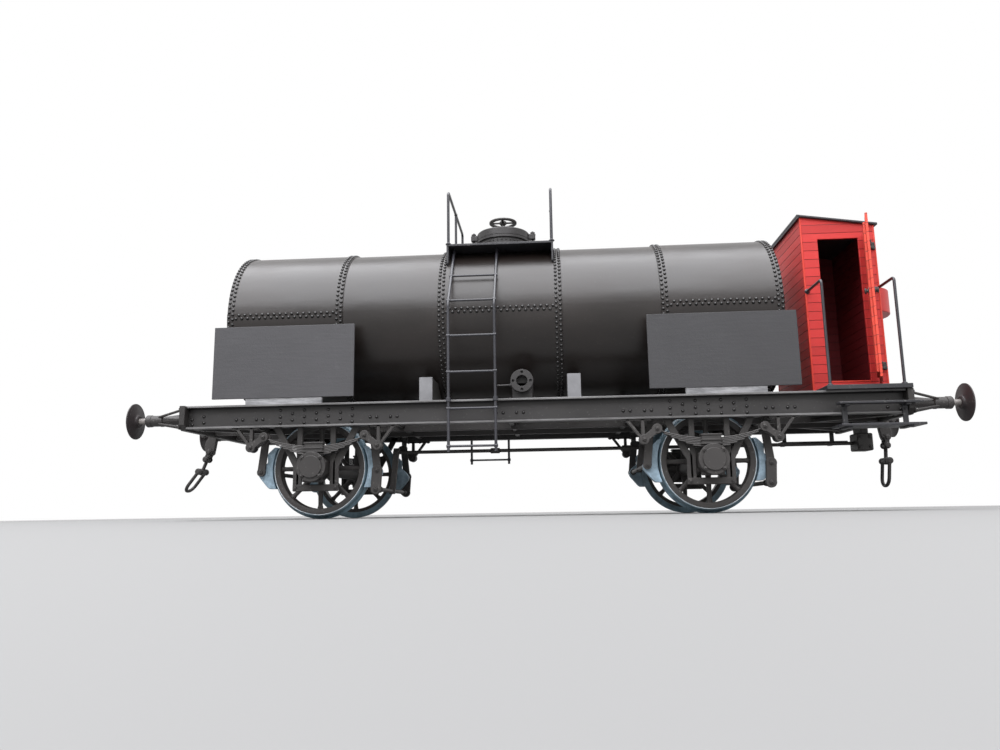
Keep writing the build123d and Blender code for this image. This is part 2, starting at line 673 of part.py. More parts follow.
def hinge_straps(leaf_face_y):
    """Knuckles on the door, turning on the pins."""
    straps = []
    for z in HINGE_Z:
        knuckle = rod((HINGE_X, HINGE_Y, z), (HINGE_X, HINGE_Y, z + 1.5), 1.0)
        strap = box((DOOR_LEAF_X[1] - 4.0, HINGE_X), (leaf_face_y, HINGE_Y + 0.3), (z, z + 1.5))
        hole = rod((HINGE_X, HINGE_Y, z - 1), (HINGE_X, HINGE_Y, z + 3), HINGE_PIN_R + HINGE_PLAY)
        straps.append(knuckle + strap - hole)
    return straps


def cab_door():
    """A door of two layers for the +Y side, shut: the inner one fits the doorway."""
    face_y = CAB_HALF_Y + 0.05
    outer_y = face_y + DOOR_LEAF_T
    inner_y = face_y - DOOR_LEAF_T
    door = box(DOOR_LEAF_X, (face_y, outer_y), DOOR_LEAF_Z)
    door += box((DOOR_X[0] + 0.35, DOOR_X[1] - 0.35), (inner_y, face_y), (DOOR_Z[0] + 0.3, DOOR_Z[1] - 0.3))
    for strap in hinge_straps(outer_y):
        door += strap
    handle_x = DOOR_LEAF_X[0] + 2.2
    for start_y, end_y in ((outer_y, outer_y + 1.4), (inner_y - 1.4, inner_y)):
        door += rod((handle_x, start_y, HANDLE_Z), (handle_x, end_y, HANDLE_Z), 0.5)
    return door


def open_door():
    """The near door, turned about its hinge to where it stands open."""
    shut = mirror(cab_door(), about=Plane.XZ)
    return Pos(HINGE_X, -HINGE_Y, 0) * Rot(0, 0, NEAR_DOOR_OPEN) * Pos(-HINGE_X, HINGE_Y, 0) * shut


def hinge_pins(side):
    """Pins that stand on brackets beside the doorway."""
    pieces = []
    for z in HINGE_Z:
        post = rod((HINGE_X, HINGE_Y, z - 1.4), (HINGE_X, HINGE_Y, z - 0.1), 1.0)
        post += box((HINGE_X - 0.9, CAB_X[1] - 0.3), (CAB_HALF_Y, HINGE_Y), (z - 1.4, z - 0.1))
        post += box((HINGE_X + 1.1, CAB_X[1] - 0.3), (CAB_HALF_Y, CAB_HALF_Y + 0.5), (z - 1.6, z + 1.8))
        pieces.append(post + rod((HINGE_X, HINGE_Y, z - 0.1), (HINGE_X, HINGE_Y, z + 1.9), HINGE_PIN_R))
    shape = group(pieces)
    return shape if side > 0 else mirror(shape, about=Plane.XZ)


def crank_box():
    """A half-round housing on the outer wall, where the brake crank swings."""
    low, high = CRANK_BOX_Z
    drum = rod((CAB_X[1], 0, low), (CAB_X[1], 0, high), CRANK_BOX_R)
    return drum - box((CAB_X[1] - 20, CAB_X[1]), (-20, 20), (low - 1, high + 1))


def brake_screw():
    """The nut and its guide frame under the cab."""
    x = CAB_X[1] - 4.0
    frame = box((x - 3.4, x + 3.4), (-4.6, 4.6), (26.0, 33.6))
    return frame + box((x - 1.6, x + 1.6), (-4.6, 4.6), (33.6, SOLE_TOP_Z))


def grab_rails():
    """Hand rails from the floor's outer edge up and in to the cab's wall."""
    pieces = []
    for x in GRAB_X:
        points = [(x, GRAB_Y, CAB_Z), (x, GRAB_Y, GRAB_TOP_Z), (x, CAB_HALF_Y, GRAB_TOP_Z)]
        pieces += both_sides(bent_rod(points, 1.6, 0.6))
    return group(pieces)


def steps(side):
    """Two foot boards on flat hangers, on the outside of the solebar."""
    high_in, high_out, high_z = UPPER_STEP
    low_in, low_out, low_z = LOWER_STEP
    piece = box(STEP_X, (high_in, high_out), (high_z, high_z + PLATE))
    piece += box(STEP_X, (low_in, low_out), (low_z, low_z + STEP_T))
    for middle in HANGER_X:
        x = (middle - 1.0, middle + 1.0)
        piece += box(x, (SOLE_EDGE_Y, SOLE_EDGE_Y + PLATE), (low_z + STEP_T, SOLE_TOP_Z - 0.2))
        piece += box(x, (SOLE_EDGE_Y, high_out - 0.8), (high_z - STEP_RIB, high_z))
        piece += box(x, (low_in + 2.0, low_out - 1.4), (low_z - STEP_RIB, low_z))
    return piece if side > 0 else mirror(piece, about=Plane.XZ)


def along_buffer(x_from, x_to, radius):
    """A round piece on the line of a buffer of the cab end, on the +Y side."""
    return rod((x_from, BUFFER_Y, BUFFER_Z), (x_to, BUFFER_Y, BUFFER_Z), radius)


def at_four_buffers(shape):
    """The buffer piece of one corner, and its mirror images at the other three."""
    return group(both_sides(shape) + both_sides(mirror(shape, about=Plane.YZ)))


def buffer_guides():
    """Base plates, tapering straps and the collars that guide the buffers' shafts."""
    base_x = FRAME_END_X + 0.8
    guide = along_buffer(FRAME_END_X, base_x, 4.4)
    guide += along_buffer(base_x, COLLAR_X[0], 1.9)
    guide += along_buffer(COLLAR_X[0], COLLAR_X[1], COLLAR_R)
    for dy in (-STRAP_FOOT[0], STRAP_FOOT[0]):
        for dz in (-STRAP_FOOT[1], STRAP_FOOT[1]):
            foot = (FRAME_END_X, BUFFER_Y + dy, BUFFER_Z + dz)
            tip = (COLLAR_X[0] + 1.6, BUFFER_Y + dy * 0.25, BUFFER_Z + dz * 0.4)
            guide += rod(foot, tip, 0.55)
    guide -= along_buffer(FRAME_END_X + 4, COLLAR_X[1] + 1, SHAFT_R + BEARING_PLAY)
    guide -= box((FRAME_END_X - 4, FRAME_END_X), (20, 50), (30, 55))
    return at_four_buffers(guide)


def buffer_heads():
    """Thin round heads on shafts that end inside the collars."""
    back_x = BUFFER_FACE_X - 1.1
    boss_x = BUFFER_FACE_X - 2.4
    head = along_buffer(back_x, BUFFER_FACE_X, BUFFER_HEAD_R)
    head += along_buffer(boss_x, back_x, COLLAR_R)
    head += along_buffer(FRAME_END_X + 5, boss_x, SHAFT_R)
    return at_four_buffers(head)


# Draw hook outline: distance out from the headstock, height above the hook's line
HOOK_OUTLINE = ((-HEAD_T, 1.4), (3.6, 1.4), (6.4, 2.8), (9.2, 2.4), (10.6, 0.0), (9.6, -2.6), (7.6, -2.9),
                (8.2, -0.4), (6.6, 0.2), (5.6, -2.0), (7.4, -5.4), (7.4, -9.2), (5.6, -11.2), (3.0, -10.6),
                (2.2, -6.0), (1.6, -1.4), (-HEAD_T, -1.4))
# Screw couplings: end, height of the pin, then (out from the headstock, height) of the nut and the shackle
COUPLINGS = ((-1, 31.4, (8.6, 22.3), (15.0, 13.6)), (1, 31.8, (4.2, 21.4), (3.0, 10.6)))


def coupling(end, pin_z, nut, bow):
    """The draw hook with the screw coupling that hangs from it."""
    out = FRAME_END_X

    def at(d, z, y=0.0):
        return (end * (out + d), y, z)

    hook = plate_xz([(end * (out + d), HOOK_Z + h) for d, h in HOOK_OUTLINE], -1.2, 1.2)
    pin = (4.9, pin_z)
    piece = hook + rod(at(*pin, -3.0), at(*pin, 3.0), 1.1)
    reach = hypot(nut[0] - pin[0], nut[1] - pin[1])
    along = ((nut[0] - pin[0]) / reach, (nut[1] - pin[1]) / reach)
    collar = (pin[0] + along[0] * 3.6, pin[1] + along[1] * 3.6)
    for y in (-2.0, 2.0):
        piece += rod(at(*pin, y), at(*collar, y), 0.7)
    piece += rod(at(*collar, -3.0), at(*collar, 3.0), 1.2)
    piece += rod(at(*collar), at(nut[0] + along[0] * 1.2, nut[1] + along[1] * 1.2), 0.8)
    piece += rod(at(*nut, -4.6), at(*nut, 4.6), 1.5)
    shackle = [at(*nut, -3.8), at(*bow, -3.8), at(*bow, 3.8), at(*nut, 3.8)]
    return piece + bent_rod(shackle, 3.4, 0.75)


def cab_floor():
    """The boards under the cab, out to both sides as landings."""
    return box(FLOOR_X, (-FLOOR_HALF_Y, FLOOR_HALF_Y), (SOLE_TOP_Z, CAB_Z))


def at_each_hanger(maker):
    """A piece on both sides of each axle, near and far."""
    pieces = []
    for x in AXLE_X:
        for s in (-1, 1):
            pieces += both_sides(maker(x, s))
    return group(pieces)


NODES = {
    "solebar_near": solebar(-1),
    "solebar_far": solebar(1),
    "headstock_tank_end": headstock(-1),
    "headstock_cab_end": headstock(1),
    "inner_sills": inner_sills(),
    "cross_bearers": cross_bearers(),
    "diagonal_braces": diagonals(),
    "axle_guards": at_each_axle(axle_guard),
    "axle_boxes": at_each_axle(axle_box),
    "leaf_springs": at_each_axle(leaf_spring),
    "spring_hangers": at_each_hanger(spring_hanger),
    "wheels_left": wheels(AXLE_X[0]),
    "wheels_right": wheels(AXLE_X[1]),
    "axle_left": axle(AXLE_X[0]),
    "axle_right": axle(AXLE_X[1]),
    "brake_blocks": at_each_hanger(brake_block),
    "brake_hangers": at_each_hanger(brake_hanger),
    "brake_beams": brake_beams(),
    "brake_pull_rod": pull_rod(),
    "brake_screw": brake_screw(),
    "buffer_guides": buffer_guides(),
    "buffer_heads": buffer_heads(),
    "coupling_tank_end": coupling(*COUPLINGS[0]),
    "coupling_cab_end": coupling(*COUPLINGS[1]),
    "tank_barrel": tank_barrel(),
    "tank_saddles": saddles(),
    "manhole_neck": manhole_neck(),
    "manhole_lid": manhole_lid(),
    "lid_hand_wheel": hand_wheel(),
    "top_deck_near": top_deck(-1),
    "top_deck_far": top_deck(1),
    "guard_rail_left": guard_rail(RAIL_X[0]),
    "guard_rail_right": guard_rail(RAIL_X[1]),
    "ladder_near": ladder(-1),
    "ladder_far": ladder(1),
    "sign_boards_near": sign_boards(-1),
    "sign_boards_far": sign_boards(1),
    "outlet_near": outlet(-1),
    "outlet_far": outlet(1),
    "cab_floor": cab_floor(),
    "cab_wall_near": cab_side_wall(-1),
    "cab_wall_far": cab_side_wall(1),
    "cab_wall_tank_end": cab_end_wall(-1),
    "cab_wall_buffer_end": cab_end_wall(1),
    "cab_roof": cab_roof(),
    "cab_door_near": open_door(),
    "cab_door_far": cab_door(),
    "hinge_pins_near": hinge_pins(-1),
    "hinge_pins_far": hinge_pins(1),
    "crank_box": crank_box(),
    "grab_rails": grab_rails(),
    "steps_near": steps(-1),
    "steps_far": steps(1),
}

os.makedirs("parts", exist_ok=True)
for name, shape in NODES.items():
    export_step(shape, os.path.join("parts", name + ".step"))
    print(name, len(shape.solids()), round(sum(s.volume for s in shape.solids()), 1))
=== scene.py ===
# %% [markdown]
# A tank car is a cylinder on a frame on wheels, and almost all of its character is small stuff:
# rivets, lapped plates, leaf springs, planks. This lesson dresses a packed, jointed model of a
# 1:25 display tank car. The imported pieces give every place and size, and each cell below adds one
# kind of surface around them. All shapes are arrays of points worked out with numpy.

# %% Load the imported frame
import json
from collections import namedtuple
from math import asin, cos, pi, radians, sin, sqrt

import bmesh
import bpy
import numpy as np
from mathutils import Matrix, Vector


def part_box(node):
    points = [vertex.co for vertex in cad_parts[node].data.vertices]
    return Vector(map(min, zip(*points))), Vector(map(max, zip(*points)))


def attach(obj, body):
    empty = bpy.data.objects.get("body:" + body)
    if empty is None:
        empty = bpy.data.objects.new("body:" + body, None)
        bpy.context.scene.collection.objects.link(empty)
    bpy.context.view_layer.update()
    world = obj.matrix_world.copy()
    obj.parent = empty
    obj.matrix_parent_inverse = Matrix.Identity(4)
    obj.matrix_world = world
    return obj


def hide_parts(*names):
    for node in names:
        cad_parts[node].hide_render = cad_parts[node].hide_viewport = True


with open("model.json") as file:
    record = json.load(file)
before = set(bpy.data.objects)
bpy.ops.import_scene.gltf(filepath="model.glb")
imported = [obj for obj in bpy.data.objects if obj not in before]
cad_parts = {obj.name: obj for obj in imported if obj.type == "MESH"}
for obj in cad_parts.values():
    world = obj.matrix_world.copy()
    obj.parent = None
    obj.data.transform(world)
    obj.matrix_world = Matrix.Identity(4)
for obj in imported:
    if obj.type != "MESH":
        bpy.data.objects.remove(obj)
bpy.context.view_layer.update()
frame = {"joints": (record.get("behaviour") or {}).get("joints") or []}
MM = 0.001
Box = namedtuple("Box", "x0 y0 z0 x1 y1 z1")


def extent(node):
    """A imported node's box: its lowest and then its highest x, y and z, in millimetres."""
    return Box(*(np.ravel(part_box(node)) / MM))


joints = {joint["name"]: joint for joint in frame["joints"]}

# %% [markdown]
# Some sizes serve in many cells, so they come first: the tank, a solebar, the wheels, the cab's
# floor and its far wall. A joint's place is a point of the line that it turns on, which gives the
# axles.

# %% Sizes that many cells share
tank, sole, wheels = extent("tank_barrel"), extent("solebar_far"), extent("wheels_left")
floor_box, wall = extent("cab_floor"), extent("cab_wall_far")
TANK_Z, TANK_R = (tank.z0 + tank.z1) / 2, (tank.z1 - tank.z0) / 2
SOLE_TOP, SOLE_BOTTOM, SOLE_EDGE = sole.z1, sole.z0, sole.y1
WEB_BACK, WEB_T = sole.y0, 0.9
FRAME_END = 149.0
AXLES = [joints[f"wheelset_{side}_spin"]["pos_m"][0] / MM for side in ("left", "right")]
AXLE_Z = wheels.z1 / 2
CAB_FLOOR_Z, CAB_X, CAB_HALF, WALL_T = floor_box.z1, (wall.x0, wall.x1), wall.y1, 1.1
print("tank radius", round(TANK_R, 2), "axles at", [round(x, 1) for x in AXLES], "height", round(AXLE_Z, 1))

# %% [markdown]
# Every surface here is either a grid or a profile carried along a path. A shape is kept as a pair:
# an array of points, and a list of arrays of faces (one array for each number of corners). Keeping
# it that plain means that a rivet can be copied a thousand times with one array expression.


# %% Grids and joins
def grid_faces(rows, columns, wrap=False):
    """Quads between neighbours of a grid whose point (i, j) has the number i * columns + j."""
    i = np.arange(rows - 1)[:, None]
    j = np.arange(columns if wrap else columns - 1)[None, :]
    k = (j + 1) % columns
    quads = [i * columns + j, i * columns + k, (i + 1) * columns + k, (i + 1) * columns + j]
    return np.stack(np.broadcast_arrays(*quads), -1).reshape(-1, 4)


def join(shapes):
    """One shape of several: the points follow each other and the faces' numbers move on."""
    points, faces, start = [], [], 0
    for more_points, more_faces in shapes:
        points.append(more_points)
        faces += [f + start for f in more_faces]
        start += len(more_points)
    return np.concatenate(points), faces


def unit(vectors):
    """Each vector divided by its length."""
    vectors = np.asarray(vectors, float)
    return vectors / np.linalg.norm(vectors, axis=-1, keepdims=True)


def spots(x, y, z):
    """Places whose x, y and z are numbers or rows of numbers of one length."""
    return np.stack(np.broadcast_arrays(x, y, z), -1).astype(float).reshape(-1, 3)


print("grid of 3 by 4 has", len(grid_faces(3, 4)), "quads, wrapped", len(grid_faces(3, 4, wrap=True)))

# %% [markdown]
# A rivet's head is modelled once, standing on the ground with its axis up. Each copy needs a frame:
# its own axis and two directions across it. Mirroring turns a shape inside out, so a mirrored face
# lists its corners in the other order.

# %% Copies and mirror images
AXES = {"x": (1, 0, 0), "y": (0, 1, 0), "z": (0, 0, 1), "-x": (-1, 0, 0), "-y": (0, -1, 0), "-z": (0, 0, -1)}


def frames_along(axes):
    """A right-handed frame (side, other, axis) for each axis.

    side = helper x axis and other = axis x side, where the helper is z, or x for an axis near z."""
    axes = unit(np.atleast_2d(AXES[axes] if isinstance(axes, str) else axes))
    helper = np.where(np.abs(axes[:, 2:]) < 0.9, [[0.0, 0.0, 1.0]], [[1.0, 0.0, 0.0]])
    side = unit(np.cross(helper, axes))
    return np.stack([side, np.cross(axes, side), axes], 1)


def copies(shape, places, axes):
    """The shape once for each place, its z turned to that axis: q = place + x side + y other + z axis."""
    points, faces = shape
    places = np.atleast_2d(np.asarray(places, float))
    frames = np.broadcast_to(frames_along(axes), (len(places), 3, 3))
    put = places[:, None, :] + np.einsum("pk,nkc->npc", points, frames)
    first = np.arange(len(places))[:, None, None] * len(points)
    return put.reshape(-1, 3), [(f[None] + first).reshape(-1, f.shape[1]) for f in faces]


def flip(shape, axis):
    """The mirror image across the plane through the origin at right angles to axis 0, 1 or 2."""
    sign = np.ones(3)
    sign[axis] = -1
    return shape[0] * sign, [f[:, ::-1] for f in shape[1]]


def both_sides(shape):
    """The shape and its mirror image on the other side of the car."""
    return join([shape, flip(shape, 1)])


def both_ends(shape):
    """The shape and its mirror image at the other end of the car, or on the other side of x = 0."""
    return join([shape, flip(shape, 0)])


def turned(shape, angle, x, y):
    """The shape turned about an upright line: x' = x cos a - y sin a, y' = x sin a + y cos a from there."""
    c, s = cos(angle), sin(angle)
    centre = np.array([x, y, 0.0])
    return (shape[0] - centre) @ [[c, s, 0], [-s, c, 0], [0, 0, 1]] + centre, shape[1]


print("a frame along x is", frames_along("x")[0].tolist())

# %% [markdown]
# Three makers cover nearly every piece. The first is a lathe, which turns a profile round an axis.
# Four points of the profile make a drum or a rod, and ten make a buffer's head.


# %% Lathe, drum and rod
def symmetric(half):
    """An outline or profile from one half: the half, then its mirror image backwards."""
    return [*half, *((-a, b) for a, b in half[::-1])]


def lathe(profile, start=(0, 0, 0), axis="z", sides=48, closed=False):
    """A profile of (along, radius) turned round: p = start + along a + radius (cos k side + sin k other).

    An end with radius 0 becomes one point with triangles round it. A closed profile makes a ring.
    The sides may also be given as an array of angles."""
    along, radius = np.asarray(profile, float).T
    turns = np.arange(sides) * 2 * pi / sides if isinstance(sides, int) else sides
    side, other, axis = frames_along(axis)[0]
    start, count = np.asarray(start, float), len(turns)
    ring = slice(int(radius[0] == 0), len(radius) - int(radius[-1] == 0))
    t, r = along[ring], radius[ring]
    around = np.cos(turns)[:, None] * side + np.sin(turns)[:, None] * other
    points = (start + t[:, None, None] * axis + r[:, None, None] * around).reshape(-1, 3)
    j = np.arange(count)
    k = (j + 1) % count
    last = (len(t) - 1) * count
    faces = [grid_faces(len(t), count, wrap=True)]
    if closed:
        return points, faces + [np.stack([last + j, last + k, k, j], -1)]
    for end, base, order in ((0, 0, -1), (-1, last, 1)):
        if radius[end]:
            faces.append((base + j)[None, ::order])
        else:
            pole = np.full(count, len(points))
            faces.append(np.stack([base + j, base + k, pole], -1)[:, ::order])
            points = np.vstack([points, start + along[end] * axis])
    return points, faces


def drum(centre, axis, half, radius, cut=(0.1, 0.1), sides=16):
    """A round bar that reaches half its length each way, its ends cut by (along, inwards)."""
    return lathe(symmetric([(half, radius - cut[1]), (half - cut[0], radius)]), centre, axis, sides)


def rod(start, end, radius, sides=12):
    """A straight round bar between two points, with its ends chamfered."""
    start, end = np.asarray(start, float), np.asarray(end, float)
    length = np.linalg.norm(end - start)
    cut = min(0.25 * radius, 0.2 * length)
    return drum((start + end) / 2, end - start, length / 2, radius, (cut, cut), sides)


print("a rod has", len(rod((0, 0, 0), (1, 0, 0), 0.2)[0]), "points")

# %% [markdown]
# The second maker carries a section along a path that lies in one plane, for wire and for leaves.
# Bent wire is straight runs whose corners are small arcs.


# %% Sections and paths
def circle(radius, sides=14):
    """A round section."""
    k = np.arange(sides) * 2 * pi / sides
    return np.stack([radius * np.cos(k), radius * np.sin(k)], -1)


def sweep(path, section, across):
    """A section along a flat path: p = q + u across + v (across x tangent), u and v from the section."""
    path, across = np.asarray(path, float), unit(across)
    tangent = np.gradient(path, axis=0)
    tangent[1:-1] = unit(path[2:] - path[1:-1]) + unit(path[1:-1] - path[:-2])
    normal = unit(np.cross(across, tangent))
    u, v = np.transpose(section)
    points = path[:, None, :] + u[None, :, None] * across + v[None, :, None] * normal[:, None, :]
    n, m = len(path), len(section)
    ends = [np.arange(m)[None, ::-1], (n - 1) * m + np.arange(m)[None, :]]
    return points.reshape(-1, 3), [grid_faces(n, m, wrap=True)] + ends


def bent(points, radius, steps=8):
    """A path of straight runs whose corners are arcs of one radius.

    From start s to end e about its centre, an arc is (sin((1 - t) a) s + sin(t a) e) / sin a."""
    points = np.asarray(points, float)
    path = [points[:1]]
    for before, corner, after in zip(points, points[1:], points[2:]):
        a, b = unit(before - corner), unit(after - corner)
        half = np.arccos(np.clip(a @ b, -1, 1)) / 2
        reach, turn = radius / np.tan(half), pi - 2 * half
        centre = corner + unit(a + b) * radius / np.sin(half)
        start, end = corner + a * reach - centre, corner + b * reach - centre
        t = np.linspace(0, 1, steps + 1)[:, None]
        path.append(centre + (np.sin((1 - t) * turn) * start + np.sin(t * turn) * end) / np.sin(turn))
    return np.concatenate(path + [points[-1:]])


print("a bent corner has", len(bent([(0, 0, 0), (5, 0, 0), (5, 5, 0)], 1)), "points")

# %% [markdown]
# The third maker is a plate: an outline on four levels, the first and last one inset, so that each
# of its edges is a small chamfer. Real edges are never sharp, and the chamfer catches the light.


# %% Plates and blocks
def inset(outline, distance):
    """The outline moved inwards: each corner goes along its mitre (n1 + n2) / (1 + n1 . n2)."""
    before = unit(outline - np.roll(outline, 1, 0))
    after = unit(np.roll(outline, -1, 0) - outline)
    n1 = np.stack([-before[:, 1], before[:, 0]], -1)
    n2 = np.stack([-after[:, 1], after[:, 0]], -1)
    return outline + distance * (n1 + n2) / (1 + (n1 * n2).sum(-1, keepdims=True))


def plate(outline, low, high, plane="xz", chamfer=0.12):
    """A flat plate with chamfered edges: its outline lies in a plane, and it is thick from low to high."""
    outline = np.asarray(outline, float)
    x, y = outline.T
    if (x * np.roll(y, -1) - np.roll(x, -1) * y).sum() < 0:
        outline = outline[::-1]
    low, high, n = min(low, high), max(low, high), len(outline)
    c = min(chamfer, 0.4 * (high - low))
    levels = ((low, c), (low + c, 0), (high - c, 0), (high, c))
    points = np.concatenate([np.column_stack([inset(outline, cut), np.full(n, z)]) for z, cut in levels])
    order = {"xz": [0, 2, 1], "xy": [0, 1, 2], "yz": [2, 0, 1]}[plane]
    caps = [np.arange(n)[None, ::-1], 3 * n + np.arange(n)[None, :]]
    return points[:, order], [grid_faces(4, n, wrap=True)] + caps


def about(middle, half):
    """The two values that lie half away from the middle."""
    return middle - half, middle + half


def cut_corners(x0, x1, y0, y1, c):
    """The outline of a rectangle with its corners cut."""
    outline = [(x0 + c, y0), (x1 - c, y0), (x1, y0 + c), (x1, y1 - c)]
    return outline + [(x1 - c, y1), (x0 + c, y1), (x0, y1 - c), (x0, y0 + c)]


def block(x, y, z, chamfer=0.12):
    """A box between two x, two y and two z values, with every edge and corner cut."""
    (x0, x1), (y0, y1) = sorted(x), sorted(y)
    c = min(chamfer, 0.3 * (x1 - x0), 0.3 * (y1 - y0))
    return plate(cut_corners(x0, x1, y0, y1, c), *z, "xy", chamfer)


print("a block has", len(block((0, 1), (0, 1), (0, 1))[0]), "points")

# %% [markdown]
# Two kinds of head appear by the hundred, a rivet's dome and a bolt's hexagon, so both have few
# faces. Later cells only say where heads are and which way they face.


# %% Rivets and bolts
def rivets(places, axis, radius, height):
    """Domed heads: each is a low skirt, a shoulder and a round top."""
    steps = ((0.25, 1), (0.72, 0.72), (0.95, 0.34), (1, 0))
    profile = [(-0.15, radius)] + [(up * height, out * radius) for up, out in steps]
    return copies(lathe(profile, sides=8), places, axis)


def bolts(places, axis, radius, height):
    """Bolt heads: six sides, a cut edge, and a little dome of thread above."""
    head = lathe([(-0.1, radius), (0.8 * height, radius), (height, 0.8 * radius)], sides=6)
    tip = rivets((0, 0, height), "z", 0.45 * radius, 0.5 * height)
    return copies(join([head, tip]), places, axis)


print("a rivet has", len(rivets((0, 0, 0), "z", 1, 1)[0]), "points")

# %% [markdown]
# A shape becomes an object in one place. The mesh is filled with whole arrays, its faces are turned
# outwards, and edges sharper than a set angle stay crisp while the rest is shaded smooth. The piece
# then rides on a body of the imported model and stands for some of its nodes.


# %% From shapes to a piece
def make_piece(name, shapes, material, replaces=(), body="chassis", twice=False, sharp=32):
    """Joins shapes into one mesh in metres, with their mirror images if twice, and finishes the piece."""
    points, faces = both_sides(join(shapes)) if twice else join(shapes)
    mesh = bpy.data.meshes.new(name)
    sizes = np.concatenate([np.full(len(f), f.shape[1]) for f in faces])
    corners = np.concatenate([f.ravel() for f in faces]).astype(np.int32)
    mesh.vertices.add(len(points))
    mesh.vertices.foreach_set("co", (points * MM).astype(np.float32).ravel())
    mesh.loops.add(len(corners))
    mesh.loops.foreach_set("vertex_index", corners)
    mesh.polygons.add(len(sizes))
    mesh.polygons.foreach_set("loop_start", (np.cumsum(sizes) - sizes).astype(np.int32))
    mesh.update(calc_edges=True)
    mesh.validate()
    work = bmesh.new()
    work.from_mesh(mesh)
    bmesh.ops.recalc_face_normals(work, faces=work.faces)
    work.to_mesh(mesh)
    work.free()
    mesh.polygons.foreach_set("use_smooth", np.ones(len(mesh.polygons), bool))
    mesh.set_sharp_from_angle(angle=radians(sharp))
    mesh.materials.append(material)
    piece = bpy.data.objects.new(name, mesh)
    bpy.context.scene.collection.objects.link(piece)
    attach(piece, body)
    if replaces:
        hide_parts(*replaces)
    print(name, len(mesh.polygons), "faces")


# %% [markdown]
# A finish is a small program that runs at each point of a surface. Written as Python expressions it
# reads like one: a Signal wraps a node's output, and a * b or 1 - a adds the Math node for it.


# %% Signals
class Signal:
    """A node's output, with arithmetic that adds Math nodes."""

    def __init__(self, paint, socket):
        self.paint = paint
        self.socket = socket

    def math(self, operation, *others):
        """A Math node of this signal and the others."""
        return self.paint.node("ShaderNodeMath", {"operation": operation}, (self, *others))

    def __add__(self, other):
        return self.math("ADD", other)

    def __sub__(self, other):
        return self.math("SUBTRACT", other)

    def __rsub__(self, other):
        return self.paint.node("ShaderNodeMath", {"operation": "SUBTRACT"}, (other, self))

    def __mul__(self, other):
        return self.math("MULTIPLY", other)

    def __or__(self, other):
        return self.math("MAXIMUM", other)

    def __abs__(self):
        return self.math("ABSOLUTE")

    def step(self, low, high):
        """0 below low, 1 above high, smooth between."""
        settings = {"interpolation_type": "SMOOTHSTEP"}
        inputs = {"Value": self, "From Min": low, "From Max": high}
        return self.paint.node("ShaderNodeMapRange", settings, inputs)

    __radd__ = __add__
    __rmul__ = __mul__


print("signals add Math nodes for + - * | and abs")

# %% [markdown]
# Every other node comes from one method, which sets the node's own settings first and then its
# inputs. Noise is what makes paint look real, so it has a method too, with its size in millimetres.


# %% Paints
class Paint:
    """A material and the nodes that feed it, or the world with owners="worlds"."""

    def __init__(self, name, owners="materials"):
        self.owner = getattr(bpy.data, owners).new(name)
        self.owner.use_nodes = True
        self.tree = self.owner.node_tree
        self.tree.nodes.clear()
        self.place = self.node("ShaderNodeTexCoord", output="Object")

    def node(self, kind, settings=None, inputs=(), output=0):
        """Adds a node: its settings first, then a value or a link for each of its inputs."""
        made = self.tree.nodes.new(kind)
        for key, value in (settings or {}).items():
            setattr(made, key, value)
        for key, value in inputs.items() if isinstance(inputs, dict) else enumerate(inputs):
            if isinstance(value, Signal):
                self.tree.links.new(value.socket, made.inputs[key])
            else:
                made.inputs[key].default_value = value
        return Signal(self, made.outputs[output]) if len(made.outputs) else None

    def noise(self, size_mm, detail=2.0, rough=0.5, stretch=(1, 1, 1)):
        """Cloudy noise whose blobs are about size_mm across, longer where stretch is over 1."""
        mapping = {"Vector": self.place, "Scale": [1 / s for s in stretch]}
        place = self.node("ShaderNodeMapping", None, mapping)
        inputs = {"Vector": place, "Scale": 0.5 / (size_mm * MM), "Detail": detail, "Roughness": rough}
        return self.node("ShaderNodeTexNoise", None, inputs)

    def parts(self):
        """The place's x, y and z in millimetres."""
        split = self.node("ShaderNodeSeparateXYZ", None, [self.place]).socket.node
        return [Signal(self, split.outputs[i]) * (1 / MM) for i in range(3)]

    def mix(self, factor, low, high):
        """A colour between two, low where factor is 0."""
        low, high = (c if isinstance(c, Signal) else (*c, 1.0) for c in (low, high))
        return self.node("ShaderNodeMix", {"data_type": "RGBA"}, {0: factor, 6: low, 7: high}, 2)

    def worn(self, colour, edge, pale):
        """Pale streaks on what lies further from the car's middle plane than edge, in millimetres: wear on
        the treads, and wear with a painted highlight on the solebars.
        """
        streak = self.noise(1.5, detail=4, rough=0.7, stretch=(8, 1, 1)).step(0.3, 0.7)
        out = abs(self.parts()[1]).step(edge, edge + 0.08)
        return self.mix(out * (streak * 0.7 + 0.25), colour, pale)

    def output(self, shader, kind="ShaderNodeOutputMaterial"):
        """Ends the tree with a shader and returns what owns the tree."""
        self.node(kind, None, {"Surface": shader})
        return self.owner

    def finish(self, colour, roughness, heights=()):
        """Feeds the shader. heights are (signal, distance in mm) pairs, each with a Bump node of its own."""
        inputs = {"Base Color": colour, "Roughness": roughness}
        for height, distance in heights:
            bump = {"Height": height, "Distance": distance * MM, "Strength": 1.0}
            if "Normal" in inputs:
                bump["Normal"] = inputs["Normal"]
            inputs["Normal"] = self.node("ShaderNodeBump", None, bump)
        return self.output(self.node("ShaderNodeBsdfPrincipled", None, inputs))


def shades(tint, dark, pale):
    """A darker and a paler shade of one tint."""
    return [dark * c for c in tint], [pale * c for c in tint]


print("half and double of a grey:", *shades((0.1, 0.1, 0.1), 0.5, 2.0))
